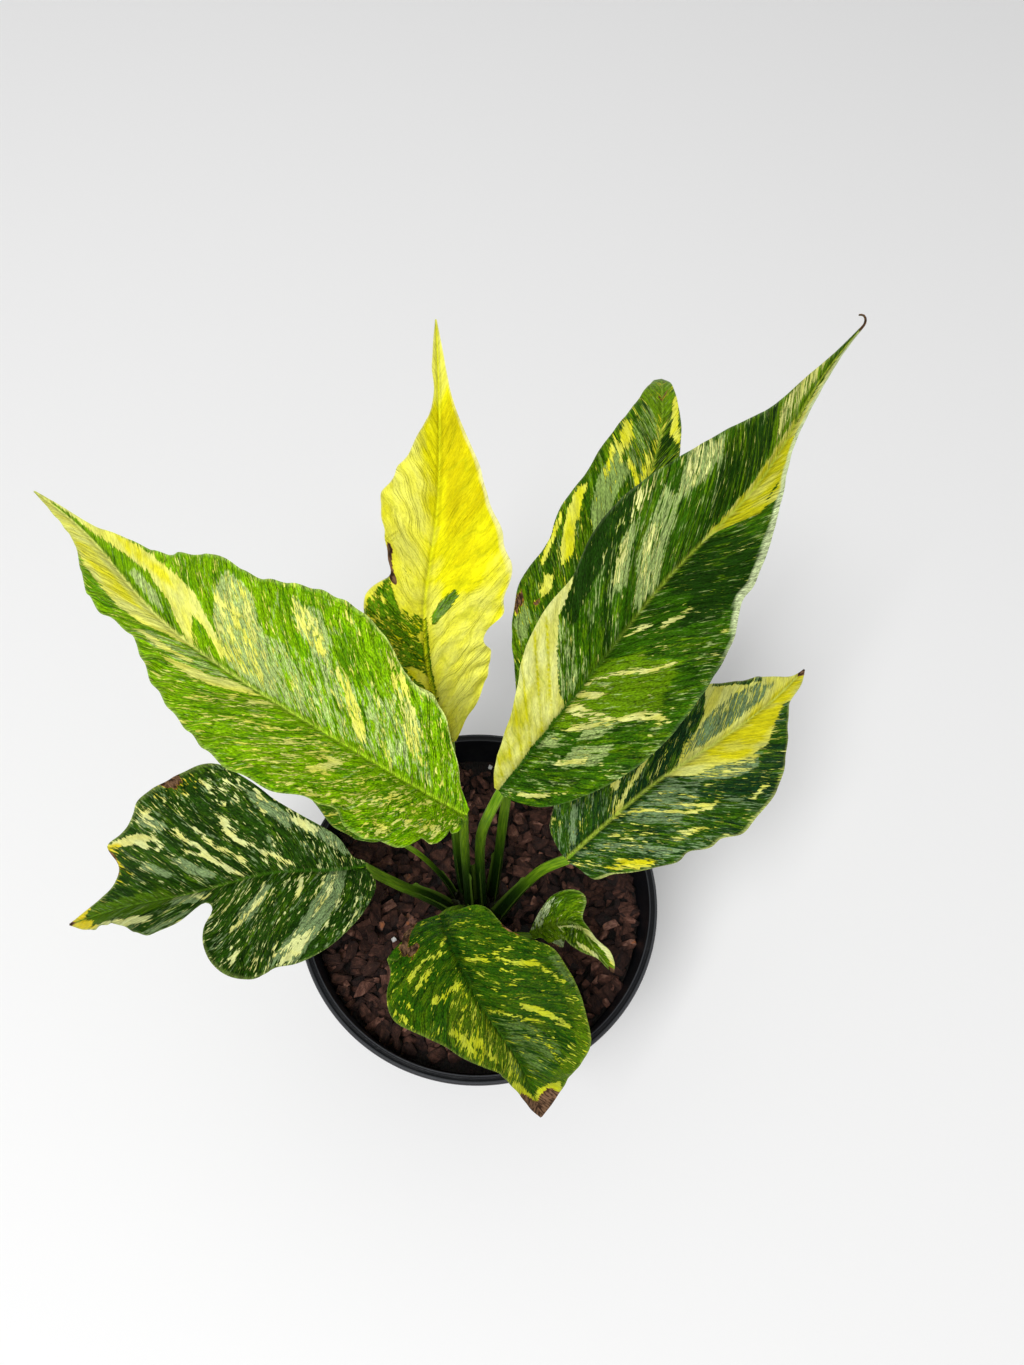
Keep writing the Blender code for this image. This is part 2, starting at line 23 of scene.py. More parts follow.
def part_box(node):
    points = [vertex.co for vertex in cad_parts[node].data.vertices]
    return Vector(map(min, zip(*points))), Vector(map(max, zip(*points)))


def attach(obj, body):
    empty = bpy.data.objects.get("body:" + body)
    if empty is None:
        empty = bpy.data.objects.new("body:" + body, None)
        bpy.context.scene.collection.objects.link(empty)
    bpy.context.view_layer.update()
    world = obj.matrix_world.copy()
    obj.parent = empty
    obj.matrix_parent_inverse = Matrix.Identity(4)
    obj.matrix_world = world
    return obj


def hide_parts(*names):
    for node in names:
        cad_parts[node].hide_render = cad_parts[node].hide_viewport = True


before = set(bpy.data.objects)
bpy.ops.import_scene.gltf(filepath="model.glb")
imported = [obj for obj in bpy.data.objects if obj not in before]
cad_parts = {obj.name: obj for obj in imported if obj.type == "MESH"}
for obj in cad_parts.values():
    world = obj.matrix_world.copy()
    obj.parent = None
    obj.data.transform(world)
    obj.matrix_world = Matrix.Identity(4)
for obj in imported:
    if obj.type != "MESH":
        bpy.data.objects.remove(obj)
log = logging.getLogger("peace_lily")

MM = 0.001
ROOT = "root"

Colour = tuple[float, float, float]
Point = tuple[float, ...]
Outline = tuple[tuple[float, float], ...]


class Tissue(Enum):
    """Kinds of leaf tissue, named as the mesh attributes that carry them."""

    PALE = "pale"  # without any green layer
    # Grey's light flecks are partly painted highlights, standing in for the glints of the leaves' sheen.
    GREY = "grey"  # a colourless layer over green
    LIME = "lime"  # thin in green
    DARK = "dark"  # deepest green
    # Past 1, pale tissue turns a darker gold that is partly painted shade where a blade turns from the
    # light.
    YELLOW = "yellow"  # turns pale tissue from cream to yellow, and past 1 to gold
    SCORCH = "scorch"  # dried brown


@dataclass(frozen=True)
class Patch:
    """A patch of one tissue, or a streak of it where it has a width.

    Attributes:
        tissue: What the patch is made of.
        level: Share of the tissue in the patch, where 1 fills it.
        outline: Corners in vein coordinates, or a streak's middle line.
        width: Width of a streak. A patch with a closed outline has none.
        soft: Width of the band at the border where the tissue thins out.
    """

    tissue: Tissue
    level: float
    outline: Outline
    width: float = 0.0
    soft: float = 1.4

    def depth(self, places: np.ndarray) -> np.ndarray:
        """How far inside the patch places lie.

        Args:
            places: Vein coordinates, one row to a place.

        Returns:
            Millimetres inside the border, negative outside it.
        """
        corners = np.array(self.outline, float)
        nearest = np.full(len(places), np.inf)
        inside = np.zeros(len(places), bool)
        following = np.roll(corners, -1, axis=0)
        if self.width:
            corners, following = corners[:-1], following[:-1]
        for corner, after in zip(corners, following):
            edge = after - corner
            share = np.clip((places - corner) @ edge / (edge @ edge), 0, 1)
            gap = np.linalg.norm(places - corner - share[:, None] * edge, axis=1)
            nearest = np.minimum(nearest, gap)
            crosses = (corner[1] > places[:, 1]) != (after[1] > places[:, 1])
            run = edge[0] / (edge[1] or 1.0)
            inside ^= crosses & (places[:, 0] < corner[0] + run * (places[:, 1] - corner[1]))
        if self.width:
            return 0.5 * self.width - nearest
        return np.where(inside, nearest, -nearest)

    def paint(self, level: np.ndarray, places: np.ndarray) -> np.ndarray:
        """Lay the patch over a tissue's level.

        Args:
            level: The tissue's level so far, one value to a place.
            places: Vein coordinates, one row to a place.

        Returns:
            The level with the patch laid over it.
        """
        share = np.clip(self.depth(places) / self.soft + 0.5, 0, 1)
        share = share * share * (3 - 2 * share)
        return level + (self.level - level) * share


def mixed(levels: dict[Tissue, float], outline: Outline, soft: float = 1.4) -> list[Patch]:
    """Patches of several tissues that lie in one place.

    Args:
        levels: Share of each tissue.
        outline: Corners that they share, in vein coordinates.
        soft: Width of the band at the border where they thin out.

    Returns:
        The patches.
    """
    return [Patch(tissue, level, outline, soft=soft) for tissue, level in levels.items()]


@dataclass(frozen=True)
class LeafFinish:
    """Colours and surface of one leaf's blade.

    Attributes:
        dark: Deepest green.
        green: Usual green.
        lime: Light green.
        grey: Green seen through a colourless layer, made light enough to stand in partly for sheen and
            glints, as painted highlights.
        cream: Pale tissue.
        yellow: Pale tissue that has yellowed.
        gold_and_shade: Pale tissue that has yellowed deeply, darkened further as painted shade where a
            blade turns from the light.
        thin: Rim of a pale fleck, and a fleck too small to be pale all through.
        rib: Midrib at the foot.
        rib_tip: Midrib towards the tip.
        edge: Thin line along the margins.
        under: Tint of the underside.
        scald: Rim of dried tissue.
        burnt: Dried tissue.
        singed: Dried tissue where it is lighter.
        roughness: Roughness of the upper side.
        gloss: Strength of its reflections.
        sheen: Tint of its reflections.
        spacing: Distance between lateral veins.
        relief: Strength of the veins' bump.
        fleck: Width and length of the finest flecks.
        fibre: Strength of the fibres along the veins.
        pucker: Strength of the fine puckers, in the bump and in the painted glints and shade on them.
        veined: Strength of the veins' lines on pale tissue.
    """

    dark: Colour = (0.009, 0.042, 0.001)
    green: Colour = (0.030, 0.095, 0.001)
    lime: Colour = (0.100, 0.210, 0.004)
    grey: Colour = (0.200, 0.290, 0.080)
    cream: Colour = (0.760, 0.800, 0.210)
    yellow: Colour = (0.800, 0.740, 0.015)
    gold_and_shade: Colour = (0.717, 0.630, 0.003)
    thin: Colour = (0.230, 0.340, 0.015)
    rib: Colour = (0.100, 0.260, 0.012)
    rib_tip: Colour = (0.160, 0.320, 0.020)
    edge: Colour = (0.420, 0.540, 0.140)
    under: Colour = (0.190, 0.290, 0.090)
    scald: Colour = (0.400, 0.180, 0.012)
    burnt: Colour = (0.040, 0.020, 0.012)
    singed: Colour = (0.220, 0.120, 0.065)
    roughness: float = 0.34
    gloss: float = 0.07
    sheen: Colour = (0.90, 1.0, 0.5)
    spacing: float = 2.8
    relief: float = 0.9
    fleck: tuple[float, float] = (0.4, 1.4)
    fibre: float = 0.55
    pucker: float = 0.7
    veined: float = 0.15


@dataclass(frozen=True)
class LeafShape:
    """One leaf: bent midrib, flat margins, stem, tissues and finish.

    A margin's points are (along the midrib, out from it), from foot to tip. Left is the
    left hand of someone who looks from the stem to the tip with the upper side facing up.
    Angles are in degrees, read evenly from foot to tip; curl is in degrees per centimetre.

    Attributes:
        name: The leaf's name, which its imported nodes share.
        slot: Material slot of the blade.
        midrib: Points that the midrib runs through.
        left: Points of the left margin.
        right: Points of the right margin.
        stem: Root of the stem, then points that it runs through.
        stem_radius: Radius of the stem at its foot.
        sheath: How much wider than the stem its sheath is.
        sheath_end: Share of the stem at which the sheath's wings end.
        roll: Turn of the blade about its midrib.
        fold_left: Rise of the left half from the midrib.
        fold_right: Rise of the right half from the midrib.
        curl: Bend of the left and right halves towards their margins.
        wave: Height of the margins' ripple and how many ripples there are.
        ruffle: Height and length of the crimps near the margins.
        quilt: Height of the puffs between veins, and their length along the midrib.
        crinkle: Height of the wrinkles that cross the blade.
        line: Strength of the thin line along the margins.
        turned: Width of the pale strip where the right margin turns over, as
            (along the midrib, width).
        lean: Run of a vein per millimetre out, at foot and tip, for left and right.
        levels: Tissues' levels where no patch lies.
        patches: Patches, each laid over those before it.
        finish: Colours and surface.
    """

    name: str
    slot: str
    midrib: tuple[Point, ...]
    left: Outline
    right: Outline
    stem: tuple[Point, ...]
    stem_radius: float
    sheath: float = 1.15
    sheath_end: float = 0.42
    roll: tuple[float, ...] = (0,)
    fold_left: tuple[float, ...] = (15,)
    fold_right: tuple[float, ...] = (15,)
    curl: tuple[float, float] = (-3, -3)
    wave: tuple[float, float] = (0.8, 4.0)
    ruffle: tuple[float, float] = (0.45, 8.0)
    quilt: tuple[float, float] = (0.38, 5.5)
    crinkle: float = 0.4
    line: float = 0.4
    turned: Outline = ((0, 0),)
    lean: tuple[tuple[float, float], tuple[float, float]] = ((0.7, 1.8), (0.7, 1.8))
    levels: dict[Tissue, float] = field(default_factory=dict)
    patches: tuple[Patch, ...] = ()
    finish: LeafFinish = LeafFinish()


PALE, GREY, LIME = Tissue.PALE, Tissue.GREY, Tissue.LIME
DARK, YELLOW, SCORCH = Tissue.DARK, Tissue.YELLOW, Tissue.SCORCH
pale, grey, lime, dark, yellow, scorch = (partial(Patch, tissue) for tissue in Tissue)

# Size of a tissue's flecks against the finest ones, softness of their rims, and the shift
# that keeps their pattern apart from the other tissues'.
FLECKS = {
    PALE: (1.0, 0.11, 0.0), GREY: (1.2, 0.15, 19.0), LIME: (1.7, 0.3, 13.0),
    DARK: (2.1, 0.28, 7.0), SCORCH: (1.5, 0.2, 31.0),
}

# The large lime leaf that reaches to the left.
LEFT_LARGE = LeafShape(
    name="left_large",
    slot="leaf_lime",
    midrib=((-4.5, -7, 204), (-15, -5.5, 213), (-39, 1.5, 226), (-77, 19.5, 233), (-95, 32, 233),
        (-120.5, 57, 230), (-145.5, 77, 224)),
    left=((0, 1.8), (3.5, 5), (5.5, 10), (10, 12.5), (12, 17), (17, 18.5), (19.5, 23), (25, 24), (29, 26.8),
        (36, 23.5), (42, 24.5), (48, 27.5), (58, 29), (71, 25), (89, 18), (104, 10.5), (114, 12), (128, 10),
        (142, 5.5), (160, 2.5)),
    right=((0, 1.8), (3, 4), (16, 16), (28, 24), (34, 24), (46, 30), (60, 33), (78, 30), (92, 25),
        (103, 24), (114, 18), (123, 12), (135, 7.5), (145, 3.5), (160, 1.5)),
    stem=((-3.3, 0.6), (-4.3, -1, 135), (-5, -4, 172)),
    stem_radius=1.85,
    fold_left=(32, 34, 28, 22),
    fold_right=(20, 22, 20, 18),
    curl=(-4, -3),
    ruffle=(0.9, 8.5),
    turned=((0, 0), (8, 0.5), (20, 0.9), (34, 0.5), (60, 0.2), (110, 0)),
    lean=((0.5, 2.4), (0.6, 3.0)),
    levels={PALE: 0.25, GREY: 0.16, LIME: 0.56, DARK: 0.25, YELLOW: 0.35},
    patches=(
        lime(0.95, ((0, 3), (66, 2), (66, -1), (0, -1))),
        lime(0.8, ((28, 12), (30, 25), (40, 25), (45, 14), (36, 10))),
        *mixed({DARK: 0.14, PALE: 0.36}, ((4, 3), (66, 2.5), (60, 14), (40, 26), (14, 24), (2, 10)),
            soft=5),
        grey(0.5, ((12, -2), (13, -12), (18, -22), (24, -16), (60, -14), (60, -1))),
        grey(0.9, ((61, -1), (60, -8), (58, -15), (57, -21), (66, -22), (71, -17), (74, -13),
            (77, -9), (77, -1))),
        grey(0.55, ((74, 2), (76, 8), (90, 9.5), (94, 5), (90, 1))),
        pale(0.48, ((60, -2), (58, -21), (66, -22), (77, -9), (77, -2))),
        pale(0.58, ((15, -6), (16, -20), (18, -28), (21, -27), (20, -12), (19, -5))),
        pale(0.6, ((33, -3), (32, -9), (34, -17), (37, -16), (36, -8), (36, -3))),
        grey(0.75, ((38, -15), (36, -23), (38, -26), (44, -26), (46, -21), (42, -15)), soft=4),
        pale(0.68, ((40, -16), (38, -20), (38, -25.5), (43, -26), (45, -22), (43, -19)), soft=3),
        pale(0.9, ((66, -14.5), (73, -13.7)), 1.4),
        pale(0.9, ((32.5, 15), (33, 10), (34.5, 7.5)), 2.0),
        pale(0.75, ((42, 12), (42, 6)), 1.4),
        pale(0.85, ((60.5, 6), (62, 2)), 1.2),
        pale(0.97, ((66, 1.5), (67, 6), (70, 9), (76, 10.3), (80, 10), (77, 7), (73.5, 5.5),
            (73, 2.5), (70, 1))),
        pale(0.9, ((79, 5.5), (84, 8.3), (92, 8.5), (93, 7.3), (86, 6.5), (81, 4.5))),
        pale(1.0, ((91, 0), (94, 3), (97, 5), (104, 7), (116, 7.5), (132, 6), (150, 4.5), (176, 2),
            (176, 0))),
        pale(1.0, ((77, -3.5), (79, -8), (82, -11.5), (92, -11.5), (103, -10), (115, -8), (128, -6),
            (140, -4.5), (160, -2.5), (176, -1), (176, 0), (91, 0), (89, -3.5), (86, -6.5), (82, -6),
            (79, -2))),
        pale(0.1, ((93, -0.4), (97, -5), (105, -6.3), (115, -5.2), (128, -3.3), (140, -1.6),
            (165, -0.6), (165, -0.1), (120, -0.3))),
        grey(0.85, ((101, -2), (103, -4.5), (115, -4), (119, -2.2), (108, -1.6))),
        dark(0.55, ((95, -0.3), (97, -2.2), (106, -1.6), (120, -1.8), (165, -0.6), (165, 0),
            (120, 0))),
        yellow(0.95, ((106, 2), (112, 6), (134, 5.5), (136, 2))),
        yellow(0.95, ((90, -8.5), (95, -10), (113, -8.5), (127, -6), (120, -5.2), (105, -7.2))),
    ),
    finish=LeafFinish(dark=(0.037, 0.132, 0.001), green=(0.096, 0.278, 0.001), lime=(0.27, 0.545, 0.002),
        grey=(0.55, 0.7, 0.24), cream=(0.9, 0.93, 0.27), yellow=(0.92, 0.87, 0.03), thin=(0.48, 0.68, 0.02),
        rib=(0.46, 0.7, 0.025), rib_tip=(0.82, 0.88, 0.2), edge=(0.64, 0.74, 0.22), fleck=(0.4, 1.5)),
)

# The yellow leaf at the back, in the middle, with a green corner at its foot.
CENTRE_YELLOW = LeafShape(
    name="centre_yellow",
    slot="leaf_yellow",
    midrib=((-13, 30.5, 172), (-20, 39.5, 191), (-23.5, 56.5, 217), (-22, 71.5, 232), (-23, 93, 249),
        (-27.5, 124.5, 262)),
    left=((0, 1.7), (7, 5), (21, 11), (37, 18), (51, 20), (57, 17), (60, 12.5), (65, 14), (75, 17.5),
        (83, 18.5), (88, 15.6), (91.5, 13.6), (94, 11.2), (98, 9.6), (102, 6.8), (112, 2), (120, 2)),
    right=((0, 1.7), (6, 7.5), (13, 13.5), (22, 18), (31, 19.8), (35, 19.9), (39, 18.2), (43, 18.8),
        (48, 21.4), (52, 24.2), (56, 24.4), (60, 24.2), (65, 25.3), (69, 24.2), (73, 21.6), (76, 20.6),
        (80, 17.8), (85, 14.8), (90, 13), (101, 8), (112, 4), (124, 2)),
    stem=((-5.3, 4.8), (-7.4, 5.5, 120), (-9.6, 11, 146)),
    stem_radius=1.8,
    roll=(12,),
    fold_left=(26,),
    fold_right=(24,),
    curl=(-2, -2),
    ruffle=(0.8, 9.0),
    quilt=(0.5, 6.5),
    crinkle=0.9,
    turned=((0, 0), (55, 0.2), (68, 0.5), (90, 0.4), (112, 0.1)),
    lean=((0.3, 1.8), (0.8, 2.2)),
    levels={PALE: 1.0, GREY: 0.1, LIME: 0.6, YELLOW: 0.8},
    patches=(
        yellow(0.35, ((0, -1), (0, -18), (30, -22), (40, -20), (44, -12), (50, -6), (60, -2),
            (46, -1)), soft=8),
        yellow(0.45, ((44, 0), (46, 12), (55, 14), (62, 17), (60, 10), (56, 2)), soft=6),
        yellow(0.3, ((60, 2), (56, 14), (66, 16), (82, 20), (96, 12), (84, 6)), soft=6),
        # The gold over the right half, past level 1, is partly painted shade where the blade turns from the
        # light.
        yellow(1.9, ((62, -5), (58, -21), (70, -21), (84, -14), (104, -6), (116, -1), (110, 2),
            (94, 1), (76, -2)), soft=8),
        yellow(1.4, ((44, -7), (42, -15), (52, -22), (60, -22), (64, -5), (56, -3)), soft=8),
        yellow(0.15, ((112, -4), (108, 3), (138, 1), (138, -1)), soft=8),
        pale(0.34, ((-3, -0.8), (0, 25), (30, 25), (42, 17), (50, 12.5), (47, 11.5), (44, 9),
            (45.5, 5), (46.5, 2), (46, -0.5), (40, -1), (20, -0.8)), soft=1.0),
        pale(0.0, ((19, 0.3), (19, -0.9), (30, -1.2), (40, -1), (46, -0.4), (40, 0.4)), soft=0.6),
        pale(1.0, ((21, 0.3), (24, 4), (28, 8.5), (29.5, 6), (28, 2.5), (26, 0.3))),
        pale(0.95, ((36.5, 0.5), (40, 2.5), (42, 1), (41, 0.4))),
        *mixed({PALE: 0.0, GREY: 0.6}, ((41, -3), (41.5, -8), (43.5, -10), (46.5, -9), (47, -4.5),
            (45, -2.5)), soft=1.0),
        pale(0.9, ((52, 4), (53, 9), (60, 11), (59, 5))),
        scorch(0.95, ((49.5, 11.5), (52, 13.5), (54.5, 14)), 2.2),
    ),
    finish=LeafFinish(dark=(0.03, 0.11, 0.001), green=(0.055, 0.18, 0.001), lime=(0.15, 0.32, 0.004),
        grey=(0.17, 0.27, 0.06), cream=(0.95, 0.94, 0.16), yellow=(0.89, 0.84, 0.006),
        thin=(0.52, 0.56, 0.006), rib=(0.78, 0.8, 0.01), rib_tip=(0.78, 0.8, 0.01), edge=(0.93, 0.9, 0.38),
        roughness=0.42, spacing=5.6, relief=2.3, fleck=(0.34, 1.2), fibre=0.3, pucker=0.45, veined=0.34),
)

# The large dark leaf that reaches to the back right, with a cream foot and a curled tip.
RIGHT_LARGE = LeafShape(
    name="right_large",
    slot="leaf_dark",
    midrib=((4, 2, 202), (15.5, 13.5, 220), (31, 31, 240), (46, 48.5, 255), (64, 67.5, 267), (79, 97, 273),
        (94, 122, 275), (95, 124, 276), (94.3, 125.4, 276.8), (92.9, 125.2, 277)),
    left=((0, 1.8), (5, 5), (16, 9), (28, 13.5), (38, 18), (55, 20.5), (63, 20), (72, 22.5), (84, 23.5),
        (97, 21.5), (110, 18.5), (122, 14), (132, 8.5), (148, 4), (162, 1.5)),
    right=((0, 1.8), (5, 10), (13, 17), (30, 25), (46, 28), (64, 27.5), (79, 24), (86, 20), (93, 18.5),
        (107, 11.5), (118, 5.5), (130, 2.5), (152, 2.5), (163, 1.5)),
    stem=((1.5, 0.6), (-0.1, 0.3, 135), (-0.6, -0.4, 168), (1.2, -0.6, 188)),
    stem_radius=1.85,
    roll=(5,),
    fold_left=(15, 15, 16, 20, 30),
    fold_right=(15, 15, 15, 40, 60),
    turned=((66, 0), (78, 0.4), (88, 1.3), (100, 1.1), (114, 0.6), (134, 0.4)),
    line=0.1,
    lean=((0.8, 3.0), (0.8, 1.8)),
    levels={PALE: 0.14, GREY: 0.24, LIME: 0.34, DARK: 0.4, YELLOW: 0.35},
    patches=(
        grey(0.5, ((31, 1), (31, 15), (37, 16), (40, 1))),
        grey(0.74, ((52, 8), (54, 16), (60, 17), (60, 7))),
        grey(0.66, ((64, 1), (62, 9), (66, 18), (74, 12), (74, 1))),
        grey(0.72, ((72, 12), (73, 19.5), (90, 14.5), (91, 11))),
        grey(0.7, ((12, -9), (13, -19), (20, -18), (19, -10))),
        grey(0.7, ((21, -9), (22, -14), (27, -15), (28, -9))),
        grey(0.68, ((18, -1), (19, -5), (22, -4), (23, -1))),
        lime(0.95, ((26, 0), (27, -13), (30, -20), (44, -18), (50, -6), (48, 0)), soft=5),
        # The dark band near the left margin is painted shade, where the half folds away from the light.
        *mixed({DARK: 1.0, LIME: 0.12, GREY: 0.08}, ((34, 16), (38, 24), (58, 25), (56, 17), (46, 15),
            (38, 12))),
        dark(0.8, ((50, 2), (50, 16), (54, 16), (53, 2))),
        *mixed({DARK: 0.75, GREY: 0.15}, ((90, 2), (90, 14), (110, 9), (122, 6), (112, 2))),
        dark(0.9, ((57, -12), (58, -18), (70, -18), (85, -12), (92, -6), (92, -1), (76, -1),
            (70, -8))),
        grey(0.12, ((46, -1), (50, -20), (70, -19), (92, -8), (92, -1))),
        lime(0.16, ((52, -1), (54, -20), (70, -19), (92, -8), (92, -1)), soft=6),
        yellow(0.0, ((40, 1), (40, 24), (92, 16), (92, 1))),
        pale(0.6, ((52, 10), (54, 15), (57, 16.5), (58, 12), (56, 9))),
        pale(0.45, ((56, 17), (57, 22), (63, 21), (62, 18))),
        pale(0.5, ((72, 13), (74, 19.5), (82, 18), (90, 14.5), (90, 12), (80, 12))),
        pale(0.4, ((64, 1), (64, 12), (70, 12), (73, 1))),
        pale(0.75, ((13, -9), (14.5, -14)), 2.4),
        pale(0.7, ((25, -6), (26, -10)), 3.0),
        pale(0.62, ((33, -1.5), (29, -9), (26, -14), (29, -18), (26, -24)), 3.0),
        pale(0.7, ((38, -1), (36.5, -6)), 2.2),
        pale(0.58, ((42, -1), (44, -5), (43, -12), (44, -16)), 2.2),
        pale(0.72, ((59, -8.5), (63.5, -11)), 2.2, 2),
        pale(0.8, ((58, -1.5), (60, -4.5)), 1.2),
        pale(0.85, ((0.5, -6), (1.5, -12)), 1.6),
        pale(1.0, ((-3, 0.4), (-3, 8), (15, 16), (20, 22), (38, 21), (38, 19), (33, 16), (31, 10),
            (31, 4), (33, 0.4)), soft=0.8),
        yellow(0.7, ((-3, 1), (0, 8), (14, 12), (24, 6), (30, 1)), soft=10),
        *(yellow(1.0, ((start, 1), (start + 0.6, 9), (start + 1.6, 19)), 0.7, 0.8)
          for start in (3, 8, 12.5, 17, 22.5, 27)),
        pale(1.0, ((91, 0), (98, 1), (120, 1.4), (132, 0.8), (132, 0), (94, -0.2))),
        pale(1.0, ((93.5, 0.3), (96, -3), (98, -6), (100, -8), (110, -6), (122, -3), (130, -1),
            (130, 0.3))),
        pale(0.12, ((99.5, -6.3), (104, -5.6), (109, -5), (105, -4.9)), soft=0.8),
        yellow(1.0, ((93, 1.5), (97, -8), (125, -3), (135, 1)), soft=3),
        lime(0.9, ((116, 0), (120, 8), (145, 5), (160, 2), (150, 0)), soft=3),
        pale(0.6, ((120, 2.5), (122, 6), (145, 4), (160, 2), (150, 1), (135, 1.8))),
        pale(1.0, ((128, -0.3), (130, -3), (150, -3.5), (176, -1.5), (176, -0.4), (145, -0.8))),
        scorch(1.0, ((173.5, 3), (173.5, -3), (190, -3), (190, 3)), soft=1.5),
    ),
    # Its yellow is darkened to olive and its midrib's foot to near black, partly as painted shade.
    finish=LeafFinish(dark=(0.008, 0.038, 0.001), green=(0.03, 0.11, 0.001), lime=(0.13, 0.26, 0.002),
        grey=(0.38, 0.5, 0.16), cream=(0.8, 0.82, 0.3), yellow=(0.54, 0.52, 0.008),
        rib=(0.016, 0.075, 0.002), rib_tip=(0.4, 0.48, 0.04), edge=(0.62, 0.72, 0.38), fleck=(0.42, 1.8),
        veined=0.3),
)

# The dark leaf behind it, whose tip bends over.
BACK_RIGHT = LeafShape(
    name="back_right",
    slot="leaf_dark",
    midrib=((7, 19.5, 182), (23.5, 54, 216), (32.5, 72, 233), (39.5, 88, 246), (41.5, 105, 251.5),
        (41.5, 120, 250.5), (42.3, 126, 244.5), (42.8, 126.5, 236)),
    left=((0, 1.8), (10, 5), (23, 9), (36, 16), (48, 20.5), (56, 21.5), (68, 19), (77, 20), (92, 17.5),
        (100, 16.5), (108, 14), (114, 11.5), (120, 8.5), (127, 5.5), (134, 3), (144, 1.2)),
    right=((0, 1.8), (12, 9), (28, 19), (48, 24), (68, 23), (88, 16), (103, 8), (113, 6), (120, 4.8),
        (127, 3.6), (134, 2.4), (144, 1.2)),
    stem=((4.8, 5.0), (5.7, 9, 135), (6.2, 14, 160)),
    stem_radius=1.8,
    fold_left=(8, 8, 8, 10, 14, -6, -30),
    fold_right=(10, 10, 10, 16, 40, 6, -30),
    curl=(-2, -2),
    line=0.15,
    lean=((0.9, 2.0), (0.9, 2.0)),
    levels={PALE: 0.18, GREY: 0.2, LIME: 0.42, DARK: 0.4, YELLOW: 0.75},
    patches=(
        grey(0.85, ((65, 7), (66, 12), (72, 14), (84, 12), (88, 6), (80, 7), (72, 6))),
        grey(0.7, ((22, 13), (22, 18), (30, 18), (30, 13))),
        lime(1.0, ((110, 0), (116, 6), (150, 3), (150, -3), (118, -3)), soft=5),
        dark(0.85, ((90, -1), (92, -4), (110, -3.5), (122, -2), (110, -0.8))),
        pale(0.97, ((36, 14), (40, 16), (44, 13), (40, 12))),
        pale(1.0, ((48, 12), (49, 15), (55, 17.5), (62, 18), (66, 16), (58, 14), (54, 11))),
        pale(0.85, ((40, 18), (52, 18.8)), 1.6),
        pale(0.6, ((76, 12.2), (86, 12.6)), 2.2),
        grey(0.42, ((88, 1), (88, 9), (100, 8), (114, 4), (112, 1)), soft=4),
        pale(0.8, ((84, 9.5), (87, 11.5), (96, 11), (101, 8.5), (95, 8)), soft=2.4),
        pale(0.55, ((91, -1), (91, 3), (98, 3.5), (103, 1.5), (118, 1), (118, -0.4)), soft=2),
        pale(0.8, ((88.5, 7), (90.5, 3)), 1.7),
        pale(0.95, ((96, -7), (104, -5), (118, -4.5), (118, -3), (105, -3.2))),
        pale(0.27, ((118, 4), (118, -3.5), (150, -1), (150, 2))),
        yellow(1.0, ((118, 5), (118, -4), (150, -2), (150, 2)), soft=4),
        scorch(0.8, ((122, 1.6), (124, -1.2)), 1.2),
        scorch(0.6, ((25, 19.5), (28, 19.3)), 2.2),
        scorch(0.7, ((33, 14.5), (36, 13.5)), 1.0),
    ),
    finish=LeafFinish(dark=(0.007, 0.034, 0.001), green=(0.032, 0.11, 0.001), lime=(0.15, 0.29, 0.002),
        grey=(0.3, 0.43, 0.11), cream=(0.78, 0.81, 0.21), yellow=(0.8, 0.78, 0.015), rib=(0.03, 0.1, 0.003),
        rib_tip=(0.2, 0.34, 0.02), fleck=(0.4, 1.7)),
)

